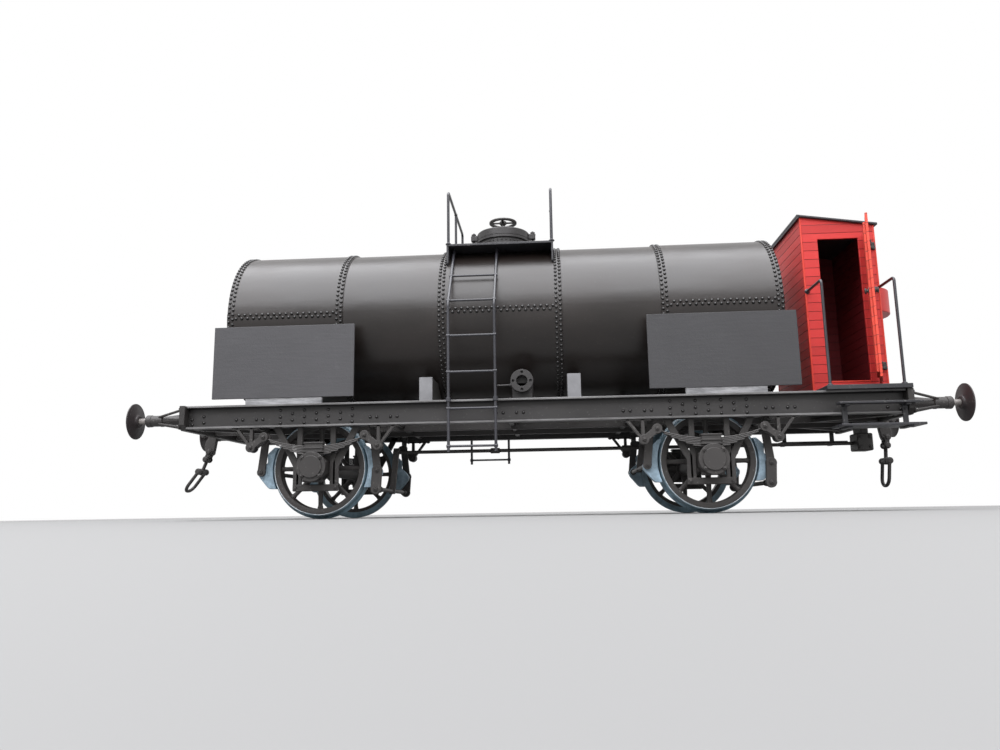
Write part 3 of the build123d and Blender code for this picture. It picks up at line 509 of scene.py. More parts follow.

# %% [markdown]
# Most of the car is one thing: black paint brushed on card and wire. Real black paint is never
# black. It is a dark grey with a slightly uneven gloss, fine fibres of card telegraphing through,
# and a little pale dust. One function makes it, with a tint, a gloss and a grain for each use. The
# solebars' flanges stand out, so their edges are painted pale, as wear and as a painted highlight,
# and a painted shadow darkens the web under the upper one.

# %% Black paints
# The second colour is a painted shadow under the solebars' upper flange, and the third paints their edges
# pale, as wear and a painted highlight.
DUST, FLANGE_SHADOW, PALE_EDGE_WEAR_AND_HIGHLIGHT = (0.16, 0.155, 0.145), (0.005, 0.0045, 0.0045), (0.175, 0.172, 0.172)


def black_paint(name, tint, gloss, grain=0.012, wave=0.0, dust=0.5, pale_edge_from=None):
    """Brushed black: a cloudy tint, uneven gloss, fine grain and flecks of dust.

    wave bends the highlights like hand-laid card. Where an edge is given, the solebars' faces
    further out than it are painted pale, as wear and a painted highlight, and a painted shadow
    darkens the web towards the upper flange."""
    paint = Paint(name)
    cloud = paint.noise(14, detail=4)
    brush = paint.noise(1.6, detail=3, rough=0.6, stretch=(6, 1, 1))
    grit = paint.noise(0.35, rough=0.7)
    fleck = paint.noise(0.5, detail=0).step(0.74, 0.8) * dust
    colour = paint.mix(cloud.step(0.3, 0.75) * 0.6 + brush * 0.3, *shades(tint, 0.7, 1.5))
    colour = paint.mix(fleck * 0.55, colour, DUST)
    if pale_edge_from:
        across, up = paint.parts()[1:]
        inside = 1 - abs(across).step(pale_edge_from - 0.1, pale_edge_from)
        # Painted shadow: the web darkens towards the upper flange.
        colour = paint.mix(up.step(SOLE_TOP - 3.4, SOLE_TOP - 0.95) * inside * 0.75, colour, FLANGE_SHADOW)
        # Pale edges, as wear and a painted highlight.
        colour = paint.worn(colour, pale_edge_from, PALE_EDGE_WEAR_AND_HIGHLIGHT)
    roughness = gloss + (cloud - 0.5) * 0.22 + (brush - 0.5) * 0.16 + fleck * 0.2
    heights = [(brush, 0.02), (grit, grain)]
    if wave:
        broad, middle = paint.noise(22, detail=1), paint.noise(7, stretch=(2, 1, 1))
        fine = paint.noise(2.4, stretch=(2.5, 1, 1))
        heights = [(broad, wave), (middle, wave * 0.3), (fine, wave * 0.07)] + heights
    return paint.finish(colour, roughness, heights)


tank_black = black_paint("satin black on the tank", (0.0102, 0.0075, 0.0065), 0.34, wave=0.5, dust=0.06)
fitting_black = black_paint("satin black on the fittings", (0.019, 0.0175, 0.0178), 0.36, dust=0.1)
rivet_black = black_paint("gloss black on rivet heads", (0.010, 0.009, 0.009), 0.24, 0.004, dust=0.0)
buffer_black = black_paint("brownish black on the buffer heads", (0.018, 0.0140, 0.0145), 0.5, 0.02, dust=0.3)
wheel_black = black_paint("dull black on wheels", (0.019, 0.0165, 0.0155), 0.55, 0.03)
frame_black = black_paint("black paint on the frame", (0.024, 0.0215, 0.0205), 0.48, 0.02, dust=0.3)
gear_black = black_paint("dull black on the running gear", (0.026, 0.0235, 0.0225), 0.55, 0.03)
rod_black = black_paint("black on wire rods", (0.024, 0.024, 0.029), 0.34, 0.004, dust=0.2)
roof_black = black_paint("dark roof sheet", (0.024, 0.024, 0.028), 0.55, 0.03)
board_black = black_paint("black painted boards", (0.021, 0.021, 0.024), 0.46, 0.03)
# Solebar paint: pale edges as wear and a painted highlight, and a painted shadow on the web under the upper
# flange.
sole_name, sole_pale_edge = "black with worn edges on the solebars", SOLE_EDGE - 0.12
sole_black = black_paint(sole_name, (0.0195, 0.018, 0.0178), 0.48, 0.02, dust=0.3, pale_edge_from=sole_pale_edge)
print("black paints", len(bpy.data.materials))

# %% [markdown]
# The sign boards are bare dark card with a fine pebble grain, rubbed a little paler in soft clouds,
# with streaky pale strips along their feet. The strips are a mask on the height z, because paint that
# only changes colour needs no shape of its own. The near right board takes a darker copy of the card
# and the others a lighter one, as painted shade and painted light.

# %% Sign board card
SIGN_BOTTOM = 50.2
CARD_DARK, CARD_PALE, CARD_RUBBED = (0.022, 0.0215, 0.0235), (0.057, 0.056, 0.060), (0.11, 0.11, 0.115)
STRIP_DARK, STRIP_PALE = (0.10, 0.10, 0.105), (0.34, 0.34, 0.35)


def board_card(name, light_shade_tone):
    """Dark grey card with a fine grain along it, soft pale rubs, and streaky pale strips below.

    tone scales the card's colour, as painted light and shade.
    """
    paint = Paint(name)
    pebble = paint.noise(0.45, detail=3, rough=0.65)
    grain = paint.noise(0.5, detail=3, rough=0.6, stretch=(12, 1, 1))
    cloud = paint.noise(10, detail=3)
    rub = paint.noise(3.0, detail=4, rough=0.7).step(0.62, 0.8)
    shade = cloud * 0.4 + pebble * 0.2 + grain * 0.5 - 0.05
    colour = paint.mix(shade, [light_shade_tone * c for c in CARD_DARK], [light_shade_tone * c for c in CARD_PALE])
    colour = paint.mix(rub * 0.3, colour, CARD_RUBBED)
    streak = paint.noise(1.4, detail=4, rough=0.7, stretch=(5, 1, 1)).step(0.3, 0.75)
    strip = paint.mix(streak, STRIP_DARK, STRIP_PALE)
    colour = paint.mix(paint.parts()[2].step(*about(SIGN_BOTTOM, 0.05)), strip, colour)
    return paint.finish(colour, 0.62 + (pebble - 0.5) * 0.2, [(pebble, 0.05), (grain, 0.03)])


# Painted light and shade: the same card lighter on three boards and darker on the near right one.
lit_card = board_card("dark card board with painted light", 1.1)
shaded_card = board_card("dark card board with painted shade", 0.76)
print("the pale strips end at z", SIGN_BOTTOM)

# %% [markdown]
# The cab is the one bright thing. Its paint is a warm red over scored planks. Each plank takes the
# brush a little differently, so the tint changes by plank: the plank's number is z divided by the
# pitch, rounded down, and a White Noise node turns that number into a random shade. Dirt gathers in
# the grooves between planks, where the same division has its fraction near zero or one.

# %% Red paints
PLANK = 3.86
# A painted shade: the inner faces of the cab's walls are darkened towards this dark red.
INSIDE_SHADE_RED = (0.07, 0.004, 0.009)


def red_paint(name, tint, planks=True, gloss=0.5):
    """Brushed red, and with planks a shade for each, dark grooves and a painted shade of dark red inside the
    cab.
    """
    paint = Paint(name)
    cloud = paint.noise(7, detail=3)
    brush = paint.noise(0.7, detail=3, rough=0.6, stretch=(9, 9, 1))
    dark, pale = [0.72 * c for c in tint], [1.12 * c + 0.008 for c in tint]
    shade = cloud * 0.5 + brush * 0.35
    if planks:
        x, y, z = paint.parts()
        height = (z - CAB_FLOOR_Z) * (1 / PLANK)
        number = {"W": height.math("FLOOR")}
        random = paint.node("ShaderNodeTexWhiteNoise", {"noise_dimensions": "1D"}, number)
        shade = shade + (random - 0.5) * 0.5
    colour = paint.mix(shade, dark, pale)
    if planks:
        groove = 1 - abs(height.math("FRACT") - 0.5).step(0.455, 0.485)
        colour = paint.mix(groove, [0.16 * c for c in tint], colour)
        # Painted shade: the inside of the cab is darkened towards a dark red.
        deep = (x - CAB_X[0], CAB_X[1] - x, CAB_HALF - abs(y))
        left, right, side = (distance.step(0.9, 1.0) for distance in deep)
        colour = paint.mix(left * right * side * 0.8, colour, INSIDE_SHADE_RED)
    return paint.finish(colour, gloss + (brush - 0.5) * 0.2, [(brush, 0.03), (cloud, 0.08)])


cab_red = red_paint("red plank paint", (0.46, 0.0145, 0.012), gloss=0.56)
door_red = red_paint("red door paint", (0.62, 0.050, 0.024), gloss=0.56)
edge_red = red_paint("red edge paint", (0.56, 0.034, 0.018), planks=False)
crank_red = red_paint("red housing paint", (0.44, 0.021, 0.018), planks=False, gloss=0.42)
print("plank pitch", PLANK, "mm from z", round(CAB_FLOOR_Z, 2))

# %% [markdown]
# The tyres' treads and the brake blocks are painted a pale grey blue to stand for bare iron. The
# paint has dark smears and specks, and on the treads the outer edge is rubbed paler.

# %% Bare iron blue and worn steel
SPECK, RUBBED_IRON, TYRE_EDGE = (0.05, 0.05, 0.05), (0.55, 0.57, 0.59), 32.62


def iron_blue(name, tint, gloss, pale_edge_from=None):
    """Grey-blue paint with darker smears and specks, and worn pale further out than pale_edge_from."""
    paint = Paint(name)
    smear = paint.noise(2.4, detail=4, rough=0.6)
    speck = paint.noise(0.45, detail=1).step(0.66, 0.78)
    colour = paint.mix(smear.step(0.32, 0.7), *shades(tint, 0.6, 1.15))
    colour = paint.mix(speck * 0.35, colour, SPECK)
    if pale_edge_from:
        colour = paint.worn(colour, pale_edge_from, RUBBED_IRON)
    return paint.finish(colour, gloss + (smear - 0.5) * 0.25, [(paint.noise(0.4), 0.02)])


block_blue = iron_blue("pale iron blue", (0.245, 0.335, 0.405), 0.55)
shaft_steel = iron_blue("worn steel on the buffer shafts", (0.20, 0.185, 0.175), 0.3)
tread_blue = iron_blue("bare tread blue", (0.135, 0.205, 0.25), 0.38, TYRE_EDGE)
print("paints so far", len(bpy.data.materials))

# %% [markdown]
# The tank is five rings of plate. The odd rings lie outside the even ones, so each ring seam is a
# small step, and along its length each outer ring closes with a lap at the tank's widest part. A
# lathe gives the rings. The lap is a lift of the radius that starts as a sharp edge just above the
# widest part and dies away with the angle below that edge: r' = r + thick (1 - angle / settle).

# %% Tank shell
DISH, KNUCKLE, LIP, LAP = 5.5, 2.2, 1.6, 0.4
LEFT, RIGHT = tank.x0 + DISH, tank.x1 - DISH
SEAMS = (LEFT + LIP, -84.2, -39.7, 10.4, 55.2, RIGHT - LIP)
OUTER_RINGS = (0, 2, 4)
TANK_X = (SEAMS[0] + SEAMS[-1]) / 2
SEAM_TURN, SEAM_THICK, SEAM_SETTLE = 2.3, 0.28, 30.0
END_EDGE = ((-0.4, -1.75), (-1.0, -1.35), (-1.0, -1.1), (-0.08, -1.1), (0, -1.02), (0, -0.09), (-0.09, 0))


def stepped(along, radius, steps):
    """Points of a profile, given by their distances along and outwards from one point."""
    return [(along + forth, radius + out) for forth, out in steps]


def lap_lift(angle):
    """How far a longitudinal lap stands off at an angle (degrees) above the widest part."""
    fall = np.clip(1 + (angle - SEAM_TURN) / SEAM_SETTLE, 0, 1)
    return SEAM_THICK * np.where(angle <= SEAM_TURN + 0.01, fall, 0)


def dished_end(rim, way):
    """Profile of an end from its tip: a sphere's cap, a knuckle, a groove and the shell's edge."""
    reach = TANK_R - KNUCKLE
    ball = (reach**2 + DISH**2) / (2 * DISH)
    half = np.linspace(0, asin(reach / ball), 16)
    cap = np.stack([rim + way * (DISH - ball * (1 - np.cos(half))), ball * np.sin(half)], -1)
    cap[0, 1] = 0
    return np.vstack([cap, stepped(rim, TANK_R, [(way * out, up) for out, up in END_EDGE])])


def ring_steps():
    """Profile of the steps between the rings, from left to right."""
    steps = []
    for i, seam in enumerate(SEAMS[1:-1]):
        way = -1 if i % 2 else 1
        corner = [(-0.09 * way, 0), (0, -0.09), (0.04 * way, -LAP)]
        steps += stepped(seam + way * LIP, TANK_R, corner)[::way]
    return steps


profile = np.vstack([dished_end(LEFT, -1), ring_steps(), dished_end(RIGHT, 1)[::-1]])
edges = [SEAM_TURN, SEAM_TURN + 0.12, 180 - SEAM_TURN - 0.12, 180 - SEAM_TURN]
turns = np.radians(np.unique(np.concatenate([np.arange(0, 360, 2.5), edges])))
points, faces = lathe(profile, (0, 0, TANK_Z), "x", turns)
y, z = points[:, 1], points[:, 2] - TANK_Z
radius = np.hypot(y, z)
lift = lap_lift(np.degrees(np.arctan2(z, np.abs(y)))) * (radius > TANK_R - 0.15)
grown = 1 + lift / np.maximum(radius, 1)
points[:, 1], points[:, 2] = y * grown, TANK_Z + z * grown
make_piece("tank_shell", [(points, faces)], tank_black, ["tank_barrel"], sharp=24)
print("shell", round(RIGHT - LEFT, 1), "mm long")

# %% [markdown]
# Rivets are what the eye reads first. Each ring seam has two rows of 102, half a pitch apart, and
# each lap has two rows in a zigzag. A head is a small dome with eight sides, placed on the surface
# with its axis along the surface's normal, which for a cylinder is just its radial direction.

# %% Tank rivets
RIVETS_AROUND = 102
ROW_OFFSET, LAP_ROW_OFFSET, LAP_PITCH = 0.85, 0.75, 2.6
TANK_HEAD = (0.7, 0.62)


def on_tank(x, angle):
    """Places and outward normals, as one array, at stations x and angles above the widest part of -Y.

    place = (x, 0, axis height) + r normal, where r grows by the lap's lift on the outer rings."""
    x, angle = np.broadcast_arrays(np.asarray(x, float), angle)
    up = (np.degrees(angle) + 90) % 360 - 90
    outer = np.any([(x > SEAMS[i] - LIP) & (x < SEAMS[i + 1] + LIP) for i in OUTER_RINGS], 0)
    r = TANK_R + lap_lift(np.where(up > 90, 180 - up, up)) * outer
    normal = spots(0, -np.cos(angle), np.sin(angle))
    return np.stack([spots(x, 0, TANK_Z) + r[:, None] * normal, normal])


rows = []
for seam in SEAMS:
    for row in (0, 1):
        angle = (np.arange(RIVETS_AROUND) + 0.5 * row) * 2 * pi / RIVETS_AROUND
        rows.append(on_tank(seam + (2 * row - 1) * ROW_OFFSET, angle))
for i in OUTER_RINGS:
    for row in (0, 1):
        x = np.arange(SEAMS[i] + 2.4 + row * LAP_PITCH / 2, SEAMS[i + 1] - 2.0, LAP_PITCH)
        up = asin(LAP_ROW_OFFSET / TANK_R) * (2 * row - 1)
        rows += [on_tank(x, up), on_tank(x, pi - up)]
places, normals = np.concatenate(rows, axis=1)
make_piece("tank_rivets", [rivets(places, normals, *TANK_HEAD)], rivet_black)
print("tank rivets", len(places))

# %% [markdown]
# The tank rests in four cross cradles. Their tops are cut to the tank's curve, and a mask on y
# paints their outer ends a lighter grey.

# %% Saddles
saddle = extent("tank_saddles")
SADDLE_X = (-120.0, -45.9, 16.0, 91.0)
SADDLE_HALF_T = SADDLE_X[0] - saddle.x0
SADDLE_DARK = (0.026, 0.025, 0.024), (0.05, 0.046, 0.043)
SADDLE_GREY = (0.11, 0.11, 0.115), (0.235, 0.235, 0.245)


def end_grey_paint():
    """Frame paint with light grey end faces."""
    paint = Paint("saddle paint with light grey ends")
    smear = paint.noise(2.5, detail=4, rough=0.6)
    end = abs(paint.parts()[1]).step(saddle.y1 - 0.32, saddle.y1 - 0.22)
    colour = paint.mix(end, paint.mix(smear, *SADDLE_DARK), paint.mix(smear, *SADDLE_GREY))
    return paint.finish(colour, 0.55 + (smear - 0.5) * 0.2, [(smear, 0.05)])


def cradle_outline(reach, foot, top, radius):
    """Half-round cut in a beam: (y, z) along the curve from -Y to +Y, then back along the foot."""
    half = asin(sqrt(radius**2 - (TANK_Z - top) ** 2) / radius)
    a = np.linspace(-half, half, 25)
    curve = np.stack([radius * np.sin(a), TANK_Z - radius * np.cos(a)], -1)
    return np.vstack([(-reach, top), curve, [(reach, top), (reach, foot), (-reach, foot)]])


outline = cradle_outline(saddle.y1, saddle.z0, saddle.z1, TANK_R + 0.1)
saddles = [plate(outline, *about(x, SADDLE_HALF_T), "yz", 0.18) for x in SADDLE_X]
make_piece("saddles", saddles, end_grey_paint(), ["tank_saddles"])

# %% [markdown]
# A round neck stands on the crown under a clamped lid. Its riveted foot ring hugs the tank: it is a
# lathe ring whose every point is lowered to the cylinder, z' = z + sqrt(R^2 - y^2). Its rivets lie
# on the same curve and stand square to it.

# %% Manhole neck
neck = extent("manhole_neck")
NECK_R, NECK_TOP = (neck.x1 - neck.x0) / 2, neck.z1
FOOT_R, FOOT_T, FOOT_ROW_R, NECK_RIVETS = 15.0, 0.5, 13.4, 36


def drape(shape, centre_x):
    """Lowers a shape onto the tank's crown: z' = z + axis height + sqrt(R^2 - y^2)."""
    points, faces = shape
    lowered = points + [centre_x, 0, TANK_Z]
    lowered[:, 2] += np.sqrt(TANK_R**2 - points[:, 1] ** 2)
    return lowered, faces


neck_profile = [(neck.z0, NECK_R)]
neck_profile += stepped(NECK_TOP, NECK_R, ((-1.3, 0), (-1.2, 0.9), (-0.1, 0.9), (0, 0.8)))
foot_profile = [(FOOT_T, NECK_R - 0.3), (-FOOT_T, NECK_R - 0.3), (-FOOT_T, FOOT_R)]
foot_profile += [(FOOT_T - 0.1, FOOT_R), (FOOT_T, FOOT_R - 0.1)]
turns = np.arange(NECK_RIVETS) * 2 * pi / NECK_RIVETS
c, s = np.cos(turns), np.sin(turns)
y = FOOT_ROW_R * s
z = np.sqrt(TANK_R**2 - y**2)
shapes = [
    lathe(neck_profile, (TANK_X, 0, 0), sides=72),
    drape(lathe(foot_profile, sides=72, closed=True), TANK_X),
    rivets(spots(TANK_X + FOOT_ROW_R * c, y, TANK_Z + z + FOOT_T), spots(0, y, z), 0.5, 0.4),
    rivets(spots(TANK_X + NECK_R * c, NECK_R * s, NECK_TOP - 2.5), spots(c, s, 0), 0.42, 0.34),
]
make_piece("manhole_neck_ring", shapes, fitting_black, ["manhole_neck"])

# %% [markdown]
# The lid has an eye lug with a swing bolt at each end, and over it sits a flat four-spoked hand
# wheel on a threaded stem. A thread here is a lathe profile whose radius swings: at this size it
# catches the light as a real one does, and nothing has to spiral.

# %% Manhole lid and hand wheel
lid, hand = extent("manhole_lid"), extent("lid_hand_wheel")
LID_R, LID_TOP = 12.4, 132.6
WHEEL_R, WHEEL_Z = (hand.x1 - hand.x0) / 2, hand.z1 - 0.9
ARM_HALF_W, ARM_HALF_T = 0.62, 0.3
LID_STEPS = ((-0.4, 0), (-0.1, -0.25), (0, -0.7), (0, -1.8), (0.55, -2.3), (0.9, -3.3), (0.95, -LID_R))
RIM_STEPS = ((-0.42, -1.6), (-0.42, -0.15), (-0.25, 0), (0.25, 0), (0.42, -0.15), (0.42, -1.6))
HUB = ((-0.7, 1.5), (-0.5, 1.7), (0.5, 1.7), (0.9, 1.3), (0.9, 0.8), (0.6, 0.6), (0.6, 0))


def thread(start, end, radius, pitch, sides=12, depth=0.12):
    """A threaded bar: its radius swings by depth twice in each pitch."""
    start, end = np.asarray(start, float), np.asarray(end, float)
    length = np.linalg.norm(end - start)
    along = np.arange(0, length, pitch / 2)
    radii = radius - depth * (np.arange(len(along)) % 2)
    profile = np.vstack([np.column_stack([along, radii]), (length, radius - depth)])
    return lathe(profile, start, end - start, sides)


def swing_bolt(x, low, high):
    """An upright bolt with a nut, a washer and a round foot."""
    nut = [(high - 1.5, 1.25), (high - 0.6, 1.25), (high - 0.45, 1.1)]
    return [
        thread((x, 0, low), (x, 0, high), 0.62, 0.5, 10),
        lathe(nut, (x, 0, 0), sides=6),
        lathe([(high - 1.75, 1.45), (high - 1.5, 1.45)], (x, 0, 0), sides=16),
        drum((x, 0, low + 0.45), "z", 0.65, 1.05, (0.2, 0.25), 14),
    ]


lid_profile = [(lid.z0 + 1.9, LID_R - 0.1), (lid.z0 + 2.0, LID_R)] + stepped(LID_TOP, LID_R, LID_STEPS)
shapes = [lathe(lid_profile, (TANK_X, 0, 0), sides=72)]
for way in (-1, 1):
    lug = (TANK_X + way * (LID_R - 0.8), TANK_X + way * (LID_R + 3.0))
    shapes.append(block(lug, (-1.4, 1.4), (NECK_TOP + 0.6, LID_TOP - 0.2), 0.35))
    shapes += swing_bolt(TANK_X + way * (LID_R + 1.7), NECK_TOP - 1.6, LID_TOP + 1.2)
make_piece("manhole_lid_clamped", shapes, fitting_black, ["manhole_lid"])

rim = stepped(0, WHEEL_R, (*RIM_STEPS, (0.25, -1.75), (-0.25, -1.75)))
washer = [(0, 2.6), (0.7, 2.6), (1.0, 2.2), (1.0, 1.2)]
wide, long = about(TANK_X, ARM_HALF_W), about(TANK_X, WHEEL_R - 1.2)
arm_z = about(WHEEL_Z, ARM_HALF_T)
shapes = [
    lathe(rim, (TANK_X, 0, WHEEL_Z), sides=56, closed=True),
    thread((TANK_X, 0, LID_TOP + 0.6), (TANK_X, 0, WHEEL_Z - 0.5), 1.1, 0.6, 20),
    lathe(HUB, (TANK_X, 0, WHEEL_Z), sides=24),
    lathe(washer, (TANK_X, 0, LID_TOP + 0.8), sides=24),
    block(long, about(0, ARM_HALF_W), arm_z, 0.15),
    block(wide, about(0, WHEEL_R - 1.2), arm_z, 0.15),
]
make_piece("hand_wheel", shapes, frame_black, ["lid_hand_wheel"])

# %% [markdown]
# Two narrow decks flank the manhole. Each is a board between end brackets that follow the tank. A
# bracket is one plate, whose inner edge is an arc of the tank's own circle.

# %% Decks
deck = extent("top_deck_far")
DECK_TOP, DECK_UNDER, DECK_EDGE = deck.z1, deck.z1 - 1.0, deck.y1
BRACKET_T, BRACKET_FOOT_Y = 0.9, 27.6
root = sqrt(TANK_R**2 - (DECK_UNDER - TANK_Z) ** 2)
foot_z = TANK_Z + sqrt(TANK_R**2 - BRACKET_FOOT_Y**2)
a = np.linspace(asin(BRACKET_FOOT_Y / TANK_R), asin(root / TANK_R), 8)
arc = np.stack([TANK_R * np.sin(a) + 0.05, TANK_Z + TANK_R * np.cos(a)], -1)
outer = [(root + 0.3, DECK_UNDER + 0.3), (DECK_EDGE - 0.1, DECK_UNDER + 0.3)]
outer += [(DECK_EDGE - 0.1, DECK_UNDER - 2.4), (BRACKET_FOOT_Y + 0.9, foot_z + 0.9)]
bracket = np.vstack([arc, outer])
shapes = [block((deck.x0, deck.x1), (root - 0.8, DECK_EDGE), (DECK_UNDER, DECK_TOP))]
shapes += [plate(bracket, x, x + BRACKET_T, "yz", 0.1) for x in (deck.x0, deck.x1 - BRACKET_T)]
for y in about((root + DECK_EDGE) / 2, 2.6):
    shapes.append(rivets(spots(np.linspace(deck.x0 + 5, deck.x1 - 5, 6), y, DECK_TOP), "z", 0.42, 0.3))
make_piece("top_decks", shapes, board_black, ["top_deck_near", "top_deck_far"], twice=True)

# %% [markdown]
# Wire hoops over the decks' ends are the guard rails. A hoop is a circle carried along a path with
# two rounded corners, with a post in the middle, and a collar where each leg stands.

# %% Guard rails
hoops = extent("guard_rail_left"), extent("guard_rail_right")
WIRE_R = (hoops[0].x1 - hoops[0].x0) / 2
RAIL_Y, RAIL_Z = DECK_EDGE - 0.8, hoops[0].z1 - WIRE_R
COLLAR = ((0, 1.25), (0.35, 1.25), (0.6, 0.85), (0.9, 0.66))
KNOB = ((-0.5, 0), (-0.4, 0.6), (0, 0.82), (0.4, 0.6), (0.5, 0))
CROWN = TANK_Z + TANK_R
shapes = []
for hoop in hoops:
    x = (hoop.x0 + hoop.x1) / 2
    legs = [(x, -RAIL_Y, DECK_TOP), (x, -RAIL_Y, RAIL_Z), (x, RAIL_Y, RAIL_Z), (x, RAIL_Y, DECK_TOP)]
    shapes.append(sweep(bent(legs, 1.8), circle(WIRE_R), (1, 0, 0)))
    shapes.append(rod((x, 0, CROWN), (x, 0, RAIL_Z), WIRE_R * 0.94, 14))
    shapes.append(lathe(KNOB, (x, 0, RAIL_Z), "y", 14))
    for y, z in ((0, CROWN - 0.1), (-RAIL_Y, DECK_TOP - 0.05), (RAIL_Y, DECK_TOP - 0.05)):
        shapes.append(lathe(COLLAR, (x, y, z), sides=16))
make_piece("guard_rails", shapes, rod_black, ["guard_rail_left", "guard_rail_right"])

# %% [markdown]
# A wire ladder leads up to each deck. Its stiles rise straight beside the frame and then lean in to
# the deck's edge, and each rung ends in a small collar at the stile.

# %% Ladders
ladder = extent("ladder_far")
LADDER_X, LADDER_Y = (-35.4, -16.2), ladder.y1 - 0.6
STILE_R, RUNG_R, BEND_Z, LADDER_HEAD = 0.6, 0.48, 87.5, (22.73, 117.84)
rungs = [(LADDER_Y, z) for z in (28.2, 43.5, 58.6, 73.8)]
for t in (0.05, 0.5):
    rungs.append((LADDER_Y + t * (LADDER_HEAD[0] - LADDER_Y), BEND_Z + t * (LADDER_HEAD[1] - BEND_Z)))
shapes = []
for x in LADDER_X:
    stile = bent([(x, LADDER_Y, ladder.z0), (x, LADDER_Y, BEND_Z), (x, *LADDER_HEAD)], 4.0)
    shapes.append(sweep(stile, circle(STILE_R), (1, 0, 0)))
    shapes.append(block(about(x, 0.6), (SOLE_EDGE - 0.3, LADDER_Y), about(SOLE_TOP - 0.45, 0.4)))
    shapes.append(drum((x, LADDER_Y, SOLE_TOP - 0.45), "z", 0.9, 1.05, sides=14))
    shapes += [drum((x, y, z), "x", 0.85, 0.72, (0.15, 0.22), 12) for y, z in rungs]
shapes += [rod((LADDER_X[0], y, z), (LADDER_X[1], y, z), RUNG_R) for y, z in rungs]
make_piece("ladders", shapes, rod_black, ["ladder_near", "ladder_far"], twice=True)

# %% [markdown]
# Four plain boards stand beside the tank, two on each side. They are card on foot strips on the
# frame, held by a row of small bolts behind. One is modelled for each end and mirrored across.

# %% Sign boards
sign_box = extent("sign_boards_far")
SIGN_HALF, SIGN_T = 30.2, 1.0
SIGN_FACE, SIGN_TOP = sign_box.y1, sign_box.z1


def sign(centre):
    """A board on the far side with its foot strip and the strip's small bolts."""
    low, high = about(centre, SIGN_HALF)
    foot = (low + 14.4, high - 13.5)
    back = SIGN_FACE - 1.9
    return join([
        block((low, high), (SIGN_FACE - SIGN_T, SIGN_FACE), (SIGN_BOTTOM, SIGN_TOP), 0.1),
        block(foot, (sign_box.y0, SIGN_FACE - 0.4), (SOLE_TOP - 0.1, SIGN_BOTTOM + 0.9), 0.1),
        block(foot, (back, back + 1.0), (SIGN_BOTTOM, SIGN_BOTTOM + 4.0), 0.15),
        bolts(spots(np.linspace(foot[0] + 2, foot[1] - 2, 5), back, SIGN_BOTTOM + 2.2), "-y", 0.55, 0.4),
    ])


signs = [sign(centre) for centre in (sign_box.x0 + SIGN_HALF, sign_box.x1 - SIGN_HALF)]
make_piece("far_sign_boards", signs, lit_card, ["sign_boards_far"])
make_piece("near_left_sign_board", [flip(signs[0], 1)], lit_card, ["sign_boards_near"])
make_piece("near_right_sign_board", [flip(signs[1], 1)], shaded_card)

# %% [markdown]
# The frame is made of rolled sections. A solebar is a channel with its flanges outwards, so its
# cross section is one outline, stretched along the car. Over each axle its web carries a zigzag of
# rivet heads, which on the real car hold the axle guards behind it.

# %% Solebars
FLANGE_T, FILLET = 0.9, 0.35
WEB_FACE = WEB_BACK + WEB_T
SOLE_HEAD = (0.7, 0.6)
ZIGZAG = 5.1
ENDS = ((145.2, 42.1), (145.0, 39.9), (140.1, 43.3), (140.0, 40.7))
flange = [(WEB_BACK, 0), (SOLE_EDGE - 0.1, 0), (SOLE_EDGE, 0.15), (SOLE_EDGE, FLANGE_T - 0.15)]
flange += [(SOLE_EDGE - 0.2, FLANGE_T), (WEB_FACE + FILLET, FLANGE_T), (WEB_FACE, FLANGE_T + FILLET)]
channel = [(y, SOLE_BOTTOM + up) for y, up in flange] + [(y, SOLE_TOP - up) for y, up in flange[::-1]]
heads = [(x, 42.0) for x in (-16.4, -13.5, -8.0, -5.1)] + [(s * x, z) for x, z in ENDS for s in (-1, 1)]
for axle_x in AXLES:
    for k in range(-3, 4):
        heads += [(axle_x + ZIGZAG * k, z) for z in ((45.2, 42.4, 39.8) if k % 2 else (43.8, 41.1))]
    heads += [(axle_x + s * out, 41.6) for out in (22.8, 25.6, 31.4, 34.2) for s in (-1, 1)]
x, z = np.transpose(heads)
bar = [plate(channel, sole.x0, sole.x1, "yz", 0.1)]
make_piece("solebars", bar, sole_black, ["solebar_near", "solebar_far"], twice=True)
web_rivets = [rivets(spots(x, WEB_FACE, z), "y", *SOLE_HEAD)]
make_piece("solebar_rivets", web_rivets, rivet_black, twice=True)
print("solebar rivets", 2 * len(heads))

# %% [markdown]
# A headstock closes each end of the frame. It is a beam with its lower corners cut, rows of rivets
# over the solebars and the sills, a striking plate for the hook, and gussets into the corners.

# %% Headstocks
head = extent("headstock_cab_end")
HEAD_T, HEAD_CUT, STRIKER_T = FRAME_END - sole.x1, 2.4, 0.7
outline = symmetric([(head.y1 - HEAD_CUT, head.z0), (head.y1, head.z0 + HEAD_CUT), (head.y1, head.z1)])
row_y = [s * y for y in (41.2, 39.2, 14.6, 12.0, 9.4) for s in (-1, 1)]
row = [(FRAME_END, y, z) for y in row_y for z in (40.2, 45.2)]
striker = [(FRAME_END + STRIKER_T, y, z) for y in (-3.2, 3.2) for z in (39.0, 43.8)]
back_x, corner_y = FRAME_END - HEAD_T, WEB_BACK - 0.1
gusset = [(back_x, corner_y), (back_x, WEB_BACK - 7.0), (back_x - 7.0, corner_y)]
end = [
    plate(outline, head.x0, head.x1, "yz", 0.15),
    rivets(row, "x", 0.62, 0.45),
    block((FRAME_END - 0.2, FRAME_END + STRIKER_T), (-4.2, 4.2), (37.8, 45.0), 0.2),
    bolts(striker, "x", 0.6, 0.5),
]
end += [both_sides(plate(gusset, z, z + 0.8, "xy", 0.1)) for z in (SOLE_BOTTOM + 0.2, SOLE_TOP - 1.2)]
nodes = ["headstock_cab_end", "headstock_tank_end"]
make_piece("headstocks", [both_ends(join(end))], frame_black, nodes)

# %% [markdown]
# Between the solebars run two sills, short cross bearers and flat diagonal braces. They show from
# below, so their joints get the small angle cleats and rivets that such frames have.

